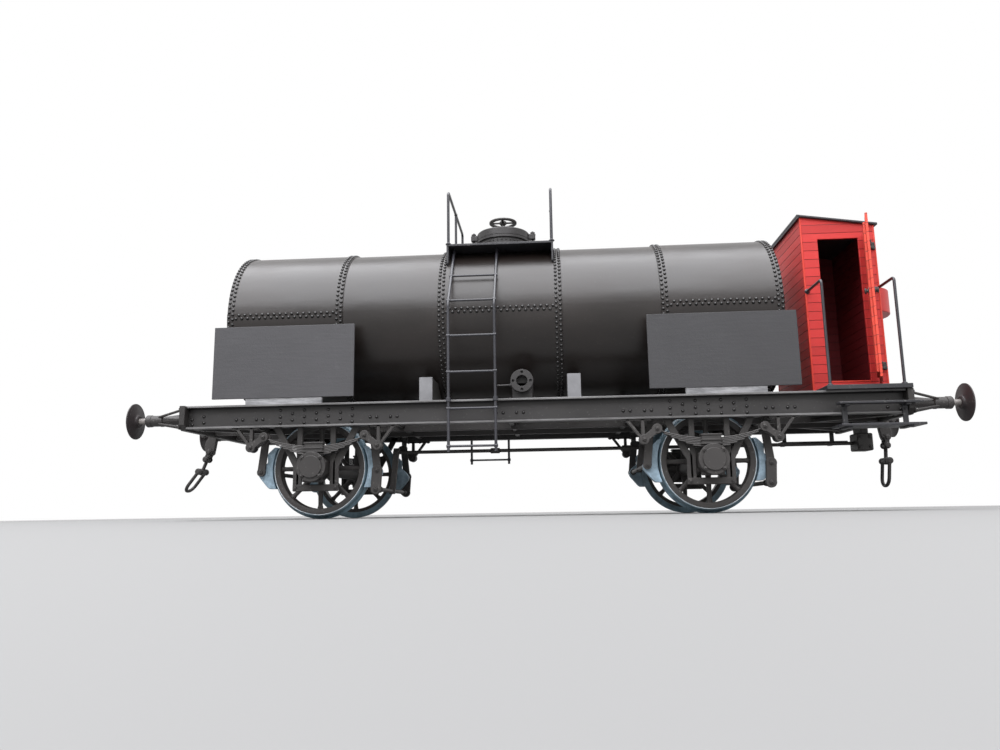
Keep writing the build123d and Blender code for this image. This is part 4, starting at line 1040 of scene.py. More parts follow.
# %% Sills, bearers and braces
sill, bearer, brace = extent("inner_sills"), extent("cross_bearers"), extent("diagonal_braces")
SILL_IN = sill.y1 - 1.6
BEARER_X = (bearer.x0 + 1.0, -61.0, -11.0, 39.0, bearer.x1 - 1.0)
BRACE_W, BRACE_REACH, BRACE_Y = 4.0, 28.6, 31.5
CLEAT, CLEAT_HEAD = 3.0, (0.45, 0.35)
bearer_z = (bearer.z0, bearer.z1)
levels = [bearer.z0 + 2.0, sum(bearer_z) / 2, bearer.z1 - 2.2]
shapes = [block((sill.x0, sill.x1), (SILL_IN, sill.y1), (sill.z0, sill.z1), 0.15)]
for x in BEARER_X:
    shapes.append(block(about(x, 1), (sill.y1 - 0.1, WEB_BACK + 0.1), bearer_z, 0.15))
    shapes.append(block(about(x, 1), (-SILL_IN, 0.01), bearer_z, 0.15))
    for y in (sill.y1, WEB_BACK - CLEAT):
        shapes.append(block((x + 0.9, x + 1.6), (y, y + CLEAT), (bearer.z0 + 0.6, bearer.z1 - 0.8), 0.1))
        shapes.append(rivets(spots(x + 1.6, y + CLEAT / 2, levels), "x", *CLEAT_HEAD))
for s in (-1, 1):
    tips = [(brace.x1, BRACE_Y), (brace.x1, BRACE_Y + BRACE_W)]
    tips += [(brace.x1 - BRACE_REACH, sill.y1 - 0.1), (brace.x1 - BRACE_REACH + BRACE_W, sill.y1 - 0.1)]
    shapes.append(plate([(s * x, y) for x, y in tips], brace.z0, brace.z1, "xy", 0.1))
    heads = [(s * (brace.x1 - 2.0), 32.9, brace.z0), (s * (brace.x1 - 3.6), 31.0, brace.z0)]
    shapes.append(rivets(heads, "-z", *CLEAT_HEAD))
nodes = ["inner_sills", "cross_bearers", "diagonal_braces"]
make_piece("underframe", shapes, frame_black, nodes, twice=True)

# %% [markdown]
# Each wheelset is three things in two colours. The tread and its flange, where the wheel meets the
# rail, are the pale blue of bare iron. The tyre's face, the rim, eight tapered spokes and the hub
# are black. A spoke is a grid: an oval that shrinks along its length and swells where it joins,
# w(t) = w0 - w1 t + flare (exp(-(t/c)^2) + exp(-((1-t)/c)^2)).

# %% Wheelsets
SPOKES, SPOKE_ROWS, SPOKE_SIDES = 8, 15, 14
SPOKE_FROM, SPOKE_LENGTH, SPOKE_Y, SPOKE_SWELL = 3.1, 14.3, 30.2, 0.09
TREAD_R = 20.1
TREAD = (
    (27.2, 18.3), (27.2, 20.6), (27.32, 20.95), (27.6, 21.1), (28.05, 21.1), (28.35, 20.9), (28.6, 20.4),
    (28.85, TREAD_R), (29.2, 20.0), (31.8, 19.92), (32.2, 19.78), (32.55, 19.5), (32.74, 19.36),
    (32.76, 19.2), (32.7, 19.12), (32.4, 19.0), (32.4, 18.3),
)
FACE = (
    (27.5, 16.8), (27.35, 17.0), (27.1, 18.4), (32.4, 18.6), (32.4, 19.1), (32.6, 19.14), (32.7, 19.1),
    (32.7, 17.1), (32.6, 16.9), (32.4, 16.8),
)
WHEEL_HUB = (
    (27.6, 2.3), (27.6, 3.6), (27.85, 3.9), (32.3, 3.9), (32.6, 3.7), (32.7, 3.3), (33.1, 3.1), (33.2, 2.95),
    (33.2, 2.3),
)
HALF_AXLE = ((43.0, 1.8), (42.8, 2.0), (33.2, 2.0), (33.15, 2.38), (27.6, 2.38), (27.6, 2.65), (27.45, 2.8))


def spoke():
    """One spoke along z from the hub to the rim, thin along x and deeper along y."""
    t = np.linspace(0, 1, SPOKE_ROWS)[:, None]
    k = np.arange(SPOKE_SIDES) * 2 * pi / SPOKE_SIDES
    flare = 0.55 * (np.exp(-((t / SPOKE_SWELL) ** 2)) + np.exp(-(((1 - t) / SPOKE_SWELL) ** 2)))
    c, s = np.cos(k), np.sin(k)
    x = (0.88 - 0.36 * t + flare) * np.sign(c) * np.abs(c) ** 0.75
    y = (1.25 - 0.4 * t + flare) * np.sign(s) * np.abs(s) ** 0.75
    first = np.arange(SPOKE_SIDES)[None, :]
    caps = [first[:, ::-1], (SPOKE_ROWS - 1) * SPOKE_SIDES + first]
    sides = grid_faces(SPOKE_ROWS, SPOKE_SIDES, wrap=True)
    return spots(x, y, SPOKE_FROM + SPOKE_LENGTH * t), [sides] + caps


turn = np.arange(SPOKES) * 2 * pi / SPOKES
for side, axle_x in zip(("left", "right"), AXLES):
    centre, body = (axle_x, 0, AXLE_Z), "wheelset_" + side
    tread = lathe(TREAD, centre, "y", 96, closed=True)
    make_piece("treads_" + side, [tread], tread_blue, body=body, twice=True)
    wheel = [
        lathe(FACE, centre, "y", 96, closed=True),
        copies(spoke(), [(axle_x, SPOKE_Y, AXLE_Z)] * SPOKES, spots(np.sin(turn), 0, np.cos(turn))),
        lathe(WHEEL_HUB, centre, "y", closed=True),
    ]
    make_piece(f"wheels_{side}_spoked", wheel, wheel_black, ["wheels_" + side], body, twice=True)
    axle = lathe(symmetric(HALF_AXLE), centre, "y", 32)
    make_piece(f"axle_{side}_turned", [axle], gear_black, ["axle_" + side], body)

# %% [markdown]
# Over each journal sits an axle box with a bolted round cover, guided by a W-shaped plate behind it.
# These are the same at both axles, so they are modelled about x = 0 and then moved to each axle.

# %% Axle boxes and guards
BOX_TOP = extent("axle_boxes").z1
BOX_Y, COVER_Y, COVER_BOLT = (35.4, 42.6), 45.4, 5.2 / sqrt(2)
GUARD_Y, TIE_Z, LEG_Z = (37.2, 38.2), 12.8, (13.0, 40.0)
BOX_HALF = ((3.2, -5.4), (5.4, -2.8), (5.4, 2.4), (3.7, 4.2))
COVER = (
    (42.4, 5.7), (44.4, 5.7), (44.5, 6.0), (44.6, 6.1), (45.3, 6.1), (45.45, 5.95), (45.45, 5.8),
    (45.45, 4.7), (45.45, 4.55), (46.0, 4.5), (46.15, 4.35), (46.15, 4.2), (46.15, 0),
)
JAW = ((19.5, LEG_Z[1]), (16.5, LEG_Z[1]), (7.2, 23.0), (7.2, LEG_Z[0]), (9.6, LEG_Z[0]), (9.6, 21.5))


def at_axles(shapes):
    """Shapes that were modelled about x = 0, moved to both axles."""
    points, faces = join(shapes)
    return [(points + [x, 0, 0], faces) for x in AXLES]


cover_bolts = [(x, COVER_Y, AXLE_Z + up) for x in about(0, COVER_BOLT) for up in about(0, COVER_BOLT)]
shapes = [
    plate([(x, AXLE_Z + up) for x, up in symmetric(BOX_HALF)], *BOX_Y, "xz", 0.4),
    block((-4.2, 4.2), (38.3, 42.9), (AXLE_Z - 6.1, AXLE_Z - 4.9), 0.25),
    block((-6.1, 6.1), (36.6, GUARD_Y[0]), (AXLE_Z - 4.6, BOX_TOP - 1.0), 0.15),
    lathe(COVER, (0, 0, AXLE_Z), "y"),
    bolts(cover_bolts, "y", 0.85, 0.8),
]
make_piece("axle_boxes_covered", at_axles(shapes), gear_black, ["axle_boxes"], twice=True)

tie_y = (GUARD_Y[0] - 0.3, GUARD_Y[1] + 0.3)
legs = both_ends(join([plate(JAW, *GUARD_Y), block((5.9, 8.2), GUARD_Y, LEG_Z)]))
shapes = [
    legs,
    block((-20.5, 20.5), GUARD_Y, (SOLE_BOTTOM, SOLE_TOP - 1.6)),
    block((-9.6, 9.6), tie_y, about(TIE_Z, 1.4), 0.3),
    bolts([(x, tie_y[1], TIE_Z) for x in (-8.3, 8.3)], "y", 0.75, 0.55),
]
make_piece("axle_guard_plates", at_axles(shapes), gear_black, ["axle_guards"], twice=True)

# %% [markdown]
# A leaf spring loads each box. The leaves are separate arcs, each shorter than the one above it, and
# the top one is rolled into an eye at both ends. All arcs share a centre, so the paint can find each
# leaf's edges: it divides the distance from that centre by a leaf's thickness. It paints each upper
# edge pale, as wear and a painted highlight, and a painted shadow where the next leaf starts.

# %% Leaf springs
SPRING_Y, SPRING_W, SPRING_T, SPRING_GAP = 40.5, 2.4, 0.62, 0.12
EYE_X, EYE_Z, EYE_R, EYE_HALF_W, PIN_R, SAG = 21.2, 33.8, 1.25, 1.2, 0.6, 3.9
LEAVES = (EYE_X, 18.6, 15.8, 12.9, 10.1, 7.2)
LEAF_ARC = (EYE_X**2 + SAG**2) / (2 * SAG)
ARC_LOW, ARC_Z = EYE_Z - SAG, EYE_Z - SAG + LEAF_ARC
BUCKLE = 4.2
LEAF_EDGE_WEAR_AND_HIGHLIGHT, LEAF_GAP_SHADOW = (0.12, 0.115, 0.112), (0.003, 0.003, 0.003)


def leaf_paint():
    """Dull black, with each leaf's upper edge pale as wear and a painted highlight, and a painted shadow
    where the next one starts.
    """
    paint = Paint("dull black leaves with worn upper edges")
    x, z = paint.parts()[::2]
    out = abs(abs(x - sum(AXLES) / 2) - (AXLES[1] - AXLES[0]) / 2)
    fall = ARC_Z - z
    part = (((out * out + fall * fall).math("SQRT") - LEAF_ARC) * (1 / SPRING_T)).math("FRACT")
    leaves = out.step(BUCKLE, BUCKLE + 0.1) * (1 - out.step(19.5, 19.7))
    cloud = paint.noise(3, detail=3)
    colour = paint.mix(cloud, (0.017, 0.0155, 0.015), (0.040, 0.037, 0.036))
    # Wear and a painted highlight along each leaf's upper edge.
    colour = paint.mix((1 - part.step(0.2, 0.5)) * leaves * 0.75, colour, LEAF_EDGE_WEAR_AND_HIGHLIGHT)
    # A painted shadow where the next leaf starts.
    colour = paint.mix(part.step(0.68, 0.9) * leaves * 0.9, colour, LEAF_GAP_SHADOW)
    return paint.finish(colour, 0.52 + (cloud - 0.5) * 0.2, [(cloud, 0.05)])


def leaf(number, half):
    """A leaf along an arc: its radius grows by one thickness for each leaf further down."""
    radius = LEAF_ARC + (number + 0.5) * SPRING_T
    a = np.linspace(-asin(half / radius), asin(half / radius), 25)
    section = cut_corners(*about(0, SPRING_W / 2), *about(0, (SPRING_T - SPRING_GAP) / 2), 0.08)
    return sweep(spots(radius * np.sin(a), SPRING_Y, ARC_Z - radius * np.cos(a)), section, (0, 1, 0))


shapes = [leaf(number, half) for number, half in enumerate(LEAVES)]
rolled = symmetric([(EYE_HALF_W, PIN_R), (EYE_HALF_W, EYE_R)])
shapes += [lathe(rolled, (x, SPRING_Y, EYE_Z), "y", 20, closed=True) for x in (-EYE_X, EYE_X)]
shapes.append(block(about(0, BUCKLE - 0.3), about(SPRING_Y, 1.6), (BOX_TOP - 0.1, ARC_LOW + 1.3), 0.2))
for rib in ((ARC_LOW + 0.8, ARC_LOW + 1.5), (ARC_LOW - 1.3, ARC_LOW - 0.6), (BOX_TOP - 0.1, BOX_TOP + 0.5)):
    shapes.append(block(about(0, BUCKLE), about(SPRING_Y, 2.0), rib, 0.15))
springs = at_axles(shapes)
make_piece("leaf_springs_layered", springs, leaf_paint(), ["leaf_springs"], twice=True)
print("leaves", len(LEAVES), "arc radius", round(LEAF_ARC, 1))

# %% [markdown]
# Dog-bone links carry the spring's eyes from two-legged brackets under the solebar. A link's outline
# is most of a circle round each end, joined by straight sides.

# %% Spring links
PIVOT_X, PIVOT_Z, LINK_R, LINK_T, LINK_FACE = 26.5, 29.6, 2.0, 0.7, 1.5
LEGS = (
    ((5.9, SOLE_BOTTOM), (7.4, SOLE_BOTTOM), (1.2, PIVOT_Z), (-0.5, PIVOT_Z - 0.5)),
    ((-0.4, SOLE_BOTTOM), (0.9, SOLE_BOTTOM), (1.1, PIVOT_Z), (-0.5, PIVOT_Z)),
    ((-3.2, SOLE_BOTTOM), (8.8, SOLE_BOTTOM), (8.8, SOLE_BOTTOM - 0.7), (-3.2, SOLE_BOTTOM - 0.7)),
)


def link(a, b, end_r, waist):
    """A dog-bone outline: most of a circle round each end, and straight sides between them."""
    a, b = np.asarray(a, float), np.asarray(b, float)
    along = unit(b - a)
    side = np.array([-along[1], along[0]])
    cut = asin(waist / end_r)
    k = np.linspace(cut, 2 * pi - cut, 19)[:, None]
    around = end_r * (np.cos(k) * along + np.sin(k) * side)
    return np.vstack([a + around, b - around])


pivot, eye = (PIVOT_X, PIVOT_Z), (EYE_X, EYE_Z)
shapes = [plate([(PIVOT_X + x, z) for x, z in leg], *about(SPRING_Y, 0.9)) for leg in LEGS]
shapes.append(drum((PIVOT_X, SPRING_Y, PIVOT_Z), "y", 1.0, 1.9, (0.1, 0.2), 24))
for low in (SPRING_Y - LINK_FACE - LINK_T, SPRING_Y + LINK_FACE):
    shapes.append(plate(link(pivot, eye, LINK_R, 1.3), low, low + LINK_T))
for x, z in (pivot, eye):
    shapes.append(rod((x, SPRING_Y - 2.5, z), (x, SPRING_Y + 2.4, z), PIN_R))
    shapes.append(bolts((x, SPRING_Y + LINK_FACE + LINK_T, z), "y", 0.85, 0.75))
feet = [(PIVOT_X + x, SPRING_Y, SOLE_BOTTOM - 0.7) for x in (-2.2, 3.6, 7.9)]
shapes.append(rivets(feet, "-z", 0.5, 0.35))
hangers = at_axles([both_ends(join(shapes))])
make_piece("spring_hanger_links", hangers, gear_black, ["spring_hangers"], twice=True)

# %% [markdown]
# The brakes: a pale shoe on each side of every wheel hangs from the frame on a flat bar. On the cab's
# side of a wheel a second, wider link leads on from the shoe's pin to the cross beam. A shoe's
# corners are rounded by cutting them twice, each cut replacing a corner by two points on its sides.

# %% Brake shoes and hangers
BLOCK_Y, HANGER_Y, HANGER_FACE = (29.0, 32.2), 32.9, 34.0
HANGER_TOP, SHOE_PIN, BEAM_FOOT = (23.2, SOLE_BOTTOM - 4.0), (24.8, 19.8), (24.3, 12.0)
SHOE_INNER, SHOE_FROM, SHOE_TO = 20.45, radians(-24), radians(26.5)
SHOE_BACK = ((19.9, 30.3), (22.9, 27.4), (22.6, 23.9), (25.0, 21.8), (26.5, 19.8), (26.3, 18.0), (21.9, 12.8))


def soften(outline, cut=0.25):
    """Cuts each corner twice: the new points lie at cut and 1 - cut of each side."""
    for _ in range(2):
        after = np.roll(outline, -1, 0)
        first, second = outline + cut * (after - outline), after + cut * (outline - after)
        outline = np.stack([first, second], 1).reshape(-1, 2)
    return outline


def brake_hanger(linked):
    """The flat bar to a shoe's pin, bolts and the bracket above, and the link to the beam if linked."""
    (top_x, top_z), (pin_x, pin_z) = HANGER_TOP, SHOE_PIN
    shapes = [
        plate(link(HANGER_TOP, SHOE_PIN, 1.8, 1.6), HANGER_Y, HANGER_FACE, "xz", 0.15),
        rod((pin_x, BLOCK_Y[1] - 0.2, pin_z), (pin_x, HANGER_Y + 0.1, pin_z), 0.9, 16),
        block(about(top_x, 1.4), (HANGER_FACE, WEB_BACK), (SOLE_BOTTOM - 0.8, SOLE_BOTTOM + 2.0), 0.2),
        block(about(top_x, 1.2), (HANGER_FACE, HANGER_FACE + 1.0), (top_z - 1.2, SOLE_BOTTOM), 0.2),
    ]
    heads, face = [HANGER_TOP, SHOE_PIN], HANGER_FACE - 0.05
    if linked:
        wide = link(SHOE_PIN, BEAM_FOOT, 2.2, 2.1)
        shapes.append(plate(wide, HANGER_Y - 0.1, HANGER_FACE + 0.35, "xz", 0.2))
        heads, face = heads + [BEAM_FOOT], HANGER_FACE + 0.3
    shapes.append(bolts([(x, face, z) for x, z in heads], "y", 0.95, 0.8))
    return join(shapes)


a = np.linspace(SHOE_FROM, SHOE_TO, 12)
inner = np.stack([SHOE_INNER * np.cos(a), AXLE_Z + SHOE_INNER * np.sin(a)], -1)
shoe = plate(soften(np.vstack([inner, SHOE_BACK]), 0.12), *BLOCK_Y, "xz", 0.2)
shoes = at_axles([both_ends(shoe)])
make_piece("brake_shoes", shoes, block_blue, ["brake_blocks"], twice=True)
rigging = [both_sides(shape) for shape in at_axles([brake_hanger(True), flip(brake_hanger(False), 0)])]
print("each shoe clears the tread by", round(SHOE_INNER - TREAD_R, 2), "mm")

# %% [markdown]
# Cross beams join the two sides. Levers on the inner beams and a long rod tie them to the screw
# under the cab. The shoes stand less than half a millimetre off the treads, so all of this, with the
# hangers, is one fixed piece.

# %% Brake rigging
ROD_Y, ROD_Z, LEVER_TOP = 1.4, 29.6, 31.5
screw, pull = extent("brake_screw"), extent("brake_pull_rod")
for way, (out, z), reach in ((1, BEAM_FOOT, HANGER_Y + 0.1), (-1, SHOE_PIN, BLOCK_Y[0] + 0.1)):
    for axle_x in AXLES:
        x = axle_x + way * out
        rigging.append(rod((x, -reach, z), (x, reach, z), 0.9, 14))
        rigging += [drum((x, y, z), "y", 0.5, 1.4, (0.15, 0.2)) for y in (-26, 26)]
        if way * axle_x < 0:
            lever = [(x - 1.3, z - 1.4), (x + 1.3, z - 1.4), (x + 3.4, LEVER_TOP), (x + 0.6, LEVER_TOP)]
            rigging.append(plate(lever, -0.6, 0.6, "xz", 0.15))
            rigging.append(bolts([(x + 1.9, -0.6, ROD_Z), (x, -0.6, z + 0.6)], "-y", 0.7, 0.5))
middle, screw_y = (screw.x0 + screw.x1) / 2, (screw.y0, screw.y1)
nuts = [(x, screw.y0, z) for x in about(middle, 2.2) for z in (27.6, 32.0)]
rigging += [drum((x, ROD_Y, ROD_Z), "x", 2.2, 1.25, (0.2, 0.35), 8) for x in (-20.0, 40.0)]
rigging += [
    rod((pull.x0, ROD_Y, ROD_Z), (screw.x0 + 0.3, ROD_Y, ROD_Z), 0.8, 14),
    block((screw.x0, screw.x1), screw_y, (26.0, 33.6), 0.4),
    block(about(middle, 1.6), screw_y, (33.5, SOLE_TOP - 0.1), 0.25),
    bolts(nuts, "-y", 0.8, 0.6),
]
nodes = ["brake_hangers", "brake_beams", "brake_pull_rod", "brake_screw"]
make_piece("brake_rigging", rigging, gear_black, nodes)

# %% [markdown]
# The ends carry the buffers. A buffer is a thin round head on a shaft that slides in a collar,
# stayed by four slanted straps. One is modelled and mirrored to the other three places.

# %% Buffers
BUFFER_Y, BUFFER_Z, COLLAR_START = 35.0, 42.4, 159.4
buffer_box = extent("buffer_heads")
FACE_X, HEAD_R, COLLAR_END = buffer_box.x1, buffer_box.z1 - BUFFER_Z, extent("buffer_guides").x1
STAY_Y, STAY_Z, STAY_R, FLANGE_BOLT = 6.6, 3.6, 0.55, 3.4
at = (0, BUFFER_Y, BUFFER_Z)


def cross(reach):
    """Four pairs at one distance from zero, each along one direction."""
    return [(reach, 0), (0, reach), (-reach, 0), (0, -reach)]


back = ((-2.6, 2.3), (-2.4, 2.6), (-1.7, 2.7), (-1.15, 3.6), (-1.05, HEAD_R - 0.35))
front = ((-0.85, HEAD_R), (-0.45, HEAD_R), (-0.25, HEAD_R - 0.3), (-0.08, HEAD_R * 0.55), (0, 0))
guide = stepped(FRAME_END, 0, ((-0.1, 4.3), (0.7, 4.3), (0.85, 4.1), (0.9, 2.7), (1.6, 2.0)))
guide += stepped(COLLAR_START, 0, ((-0.2, 1.9), (0, 2.3), (0.2, 2.5), (1.3, 2.5), (1.45, 2.35)))
guide += stepped(COLLAR_END, 0, ((-2.3, 2.35), (-2.2, 2.55), (-0.3, 2.6), (0, 2.4), (0, 1.5), (-0.6, 1.34)))
shapes = [lathe(guide, at, "x", 40)]
for out in about(0, STAY_Y):
    for up in about(0, STAY_Z):
        start = (FRAME_END, BUFFER_Y + out, BUFFER_Z + up)
        end = (COLLAR_START + 1.6, BUFFER_Y + out * 0.25, BUFFER_Z + up * 0.4)
        shapes.append(rod(start, end, STAY_R))
        foot = about(start[1], 1.2), about(start[2], 1.0)
        shapes.append(block((FRAME_END - 0.1, FRAME_END + 0.6), *foot, 0.2))
heads = [(FRAME_END + 0.8, BUFFER_Y + out, BUFFER_Z + up) for out, up in cross(FLANGE_BOLT)]
shapes.append(bolts(heads, "x", 0.6, 0.5))
head = both_ends(lathe(stepped(FACE_X, 0, back + front), at, "x", 56))
shaft = both_ends(lathe([(FRAME_END + 5, 1.3), (FACE_X - 2.5, 1.3)], at, "x", 24))
guides = [both_ends(join(shapes))]
make_piece("buffer_guides_strapped", guides, gear_black, ["buffer_guides"], twice=True)
make_piece("buffer_heads_round", [head], buffer_black, ["buffer_heads"], twice=True)
make_piece("buffer_shafts", [shaft], shaft_steel, twice=True)

# %% [markdown]
# Between the buffers hangs a screw coupling from the hook. The hook's outline is typed as corners
# and softened in the same way as the brake shoes. The parts below it hang in one plane, so each is
# given by its x and z, and a small helper adds the y.

# %% Hooks and screw couplings
HOOK_Z, SHACKLE_Y, SHACKLE_R, LINK_Y = 41.0, 3.8, 0.75, (-2.3, 1.7)
HOOK = (
    (-2.4, 1.4), (3.6, 1.4), (6.4, 2.8), (9.2, 2.4), (10.6, 0.0), (9.6, -2.6), (7.6, -2.9), (8.2, -0.4),
    (6.6, 0.2), (5.6, -2.0), (7.4, -5.4), (7.4, -9.2), (5.6, -11.2), (3.0, -10.6), (2.2, -6.0), (1.6, -1.4),
    (-2.4, -1.4),
)
TRUNNION = ((4.6, 0.9), (4.4, 1.1), (2.2, 1.1), (2.0, 1.5))


def coupling(pin, nut, bow):
    """The hook, the two short links, the threaded spindle, its nut with trunnions and the shackle."""
    pin, nut, bow = (np.add(place, (FRAME_END, 0)) for place in (pin, nut, bow))
    along = unit(nut - pin)
    collar, tip = pin + 3.6 * along, nut + 1.6 * along

    def place(point, y=0.0):
        return np.array([point[0], y, point[1]])

    loop = [place(nut, -SHACKLE_Y), place(bow, -SHACKLE_Y), place(bow, SHACKLE_Y), place(nut, SHACKLE_Y)]
    across = np.cross(place(bow - nut), (0, 1, 0))
    shapes = [
        plate(soften(np.array(HOOK)) + (FRAME_END, HOOK_Z), -1.2, 1.2, "xz", 0.3),
        rod(place(pin, -3.0), place(pin, 3.0), 1.0, 16),
        drum(place(collar), "y", 3.1, 1.2, (0.2, 0.3), 18),
        thread(place(collar), place(tip), 0.86, 0.55, 14),
        lathe(symmetric(TRUNNION), place(nut), "y", 18),
        sweep(bent(loop, 3.4, 10), circle(SHACKLE_R, 12), across),
    ]
    shapes += [plate(link(pin, collar, 1.5, 0.9), y, y + 0.6) for y in LINK_Y]
    shapes += [drum(place(nut, y), "y", 0.6, 1.5, (0.1, 0.2)) for y in about(0, SHACKLE_Y)]
    return join(shapes)


tank_end = flip(coupling((4.9, 31.4), (8.6, 22.3), (15.0, 13.6)), 0)
cab_end = coupling((4.9, 31.8), (4.2, 21.4), (3.0, 10.6))
nodes = ["coupling_tank_end", "coupling_cab_end"]
make_piece("draw_gear", [tank_end, cab_end], gear_black, nodes)

# %% [markdown]
# Low on each flank a drain pipe ends in a bolted flange. The flange is a lathe shape with a fine
# face, and its four bolt holes are pressed into that face: every point closer to a hole's centre
# than its radius goes in by depth x clip((radius - distance) / edge, 0, 1).

# %% Bottom outlets
outlet = extent("outlet_far")
OUTLET_R, BORE_R, HOLE_R, HOLE_CIRCLE = 4.8, 2.3, 0.5, 3.6
OUTLET_X, OUTLET_Z, FACE_Y = outlet.x1 - OUTLET_R, 55.4, outlet.y1
HANDLE_Y, HOLE_EDGE, HOLE_DEPTH = 33.0, 0.12, 1.2
flank = sqrt(TANK_R**2 - (TANK_Z - OUTLET_Z) ** 2)
profile = [(30.0, 0), (30.0, BORE_R), (FACE_Y - 0.15, BORE_R)]
profile += [(FACE_Y, r) for r in np.linspace(BORE_R + 0.15, OUTLET_R - 0.15, 24)]
rear = ((-0.15, 0), (-1.25, 0), (-1.4, -0.15), (-1.4, 3.5 - OUTLET_R), (-1.8, 3.2 - OUTLET_R))
profile += stepped(FACE_Y, OUTLET_R, rear) + [(flank - 1.0, 3.2)]
points, faces = lathe(profile, (OUTLET_X, 0, OUTLET_Z), "y", 160)
centres = np.add(cross(HOLE_CIRCLE), (OUTLET_X, OUTLET_Z))
distance = np.linalg.norm(points[:, None, [0, 2]] - centres, axis=-1).min(1)
press = np.clip((HOLE_R + HOLE_EDGE / 2 - distance) / HOLE_EDGE, 0, 1) * HOLE_DEPTH
points[:, 1] -= press * (points[:, 1] > FACE_Y - 0.05)
foot_bolts = [(x, y, SOLE_TOP + 0.9) for x in about(OUTLET_X, 5.0) for y in (28.6, 33.4)]
handle = (OUTLET_X - 4.7, HANDLE_Y, OUTLET_Z - 1.0)
shapes = [
    (points, faces),
    block(about(OUTLET_X, 4.4), (28.0, 34.0), (SOLE_TOP, OUTLET_Z), 0.4),
    block(about(OUTLET_X, 5.6), (27.4, 34.6), (SOLE_TOP - 0.1, SOLE_TOP + 0.9), 0.2),
    drum((OUTLET_X, 31.0, OUTLET_Z), "y", 3.0, 4.1, (0.2, 0.2), 40),
    bolts(foot_bolts, "z", 0.55, 0.5),
    rod((outlet.x0, HANDLE_Y, handle[2]), (OUTLET_X - 4.0, HANDLE_Y, handle[2]), 0.4),
    drum(handle, "x", 0.5, 0.95, (0.1, 0.45), 14),
]
nodes = ["outlet_near", "outlet_far"]
make_piece("bottom_outlets", shapes, fitting_black, nodes, twice=True)

# %% [markdown]
# The cab is a box of horizontal planks. Each plank is a plate of its own with chamfered edges, cut
# round the doorway, so the grooves between planks are real, on the inside too. The side walls' top
# board follows the roof's slope. The doors and the red paint's shades use the same height grid.

# %% Cab walls
EAVES = (wall.z1, 121.8)
DOOR_X, DOOR_Z = (123.3, 140.4), (53.8, 116.2)
SIDE_Y, INNER = (CAB_HALF - WALL_T, CAB_HALF), CAB_HALF - WALL_T
SLOPE = (EAVES[1] - EAVES[0]) / (CAB_X[1] - CAB_X[0])
FULL_PLANKS = 18


def planks(span, low, high, thick, plane, hole=None):
    """Boards one above the other on the cab's height grid, cut round a hole ((a, b), (low, high))."""
    first = np.ceil((low - CAB_FLOOR_Z) / PLANK + 0.1)
    last = np.floor((high - CAB_FLOOR_Z) / PLANK - 0.1)
    levels = [low, *(CAB_FLOOR_Z + PLANK * np.arange(first, last + 1)), high]
    x0, x1 = span
    (h0, h1), (bottom, top) = hole or (span, (high, high))
    outlines = []
    for z0, z1 in zip(levels, levels[1:]):
        if z1 <= bottom or z0 >= top:
            outlines.append([(x0, z0), (x1, z0), (x1, z1), (x0, z1)])
        elif z0 < bottom:
            notch = [(h1, z1), (h1, bottom), (h0, bottom), (h0, z1)]
            outlines.append([(x0, z0), (x1, z0), (x1, z1), *notch, (x0, z1)])
        elif z1 > top:
            notch = [(h0, z0), (h0, top), (h1, top), (h1, z0)]
            outlines.append([(x0, z0), *notch, (x1, z0), (x1, z1), (x0, z1)])
        else:
            outlines += [[(a, z0), (b, z0), (b, z1), (a, z1)] for a, b in ((x0, h0), (h1, x1))]
    return join([plate(outline, *thick, plane) for outline in outlines])


top_board = CAB_FLOOR_Z + PLANK * FULL_PLANKS
outline = [(CAB_X[0], top_board), (CAB_X[1], top_board), (CAB_X[1], EAVES[1]), (CAB_X[0], EAVES[0])]
boards = planks(CAB_X, CAB_FLOOR_Z, top_board, SIDE_Y, "xz", (DOOR_X, DOOR_Z))
side_wall = join([boards, plate(outline, *SIDE_Y)])
end_walls = [
    planks((-INNER, INNER), CAB_FLOOR_Z, EAVES[0] + SLOPE * WALL_T, (CAB_X[0], CAB_X[0] + WALL_T), "yz"),
    planks((-INNER, INNER), CAB_FLOOR_Z, EAVES[1], (CAB_X[1] - WALL_T, CAB_X[1]), "yz"),
]
nodes = ["cab_wall_tank_end", "cab_wall_buffer_end"]
make_piece("cab_planks_near", [flip(side_wall, 1)], cab_red, ["cab_wall_near"])
make_piece("cab_planks_far", [side_wall], cab_red, ["cab_wall_far"])
make_piece("cab_planks_ends", end_walls, cab_red, nodes)

# %% [markdown]
# Round beads cover the cab's corners, and a sill lies in each doorway. The roof is one sheet that
# slopes with the eaves, with a lip at its edge over the tank's end, and the floor is a row of boards.

# %% Cab beads, roof and floor
ROOF_T, BEAD_R, BOARDS, BOARD_GAP = 0.9, 0.45, 18, 0.02
roof = extent("cab_roof")
bead_y = CAB_HALF - 0.2
shapes = []
for x, top in ((CAB_X[0] + 0.2, EAVES[0] - 0.1), (CAB_X[1] - 0.2, EAVES[1] - 0.1)):
    shapes.append(rod((x, bead_y, CAB_FLOOR_Z), (x, bead_y, top), BEAD_R))
sill_x, sill_z = (DOOR_X[0] + 0.02, DOOR_X[1] - 0.02), (DOOR_Z[0] - 0.5, DOOR_Z[0] + 0.12)
shapes.append(block(sill_x, (INNER - 0.2, CAB_HALF + 0.02), sill_z, 0.1))
make_piece("cab_corner_beads", shapes, edge_red, twice=True)

inner, outer = ((x, EAVES[0] + SLOPE * (x - CAB_X[0])) for x in (roof.x0, roof.x1))
outline = [inner, outer, (outer[0], outer[1] + ROOF_T), (inner[0], inner[1] + ROOF_T)]
lip = stepped(*inner, ((0.1, -0.9), (0.8, -0.9), (0.8, 0.2), (0.1, 0.2)))
sheet = [plate(outline, -roof.y1, roof.y1, "xz", 0.2), plate(lip, 0.1 - roof.y1, roof.y1 - 0.1, "xz", 0.15)]
make_piece("cab_roof_sheet", sheet, roof_black, ["cab_roof"])


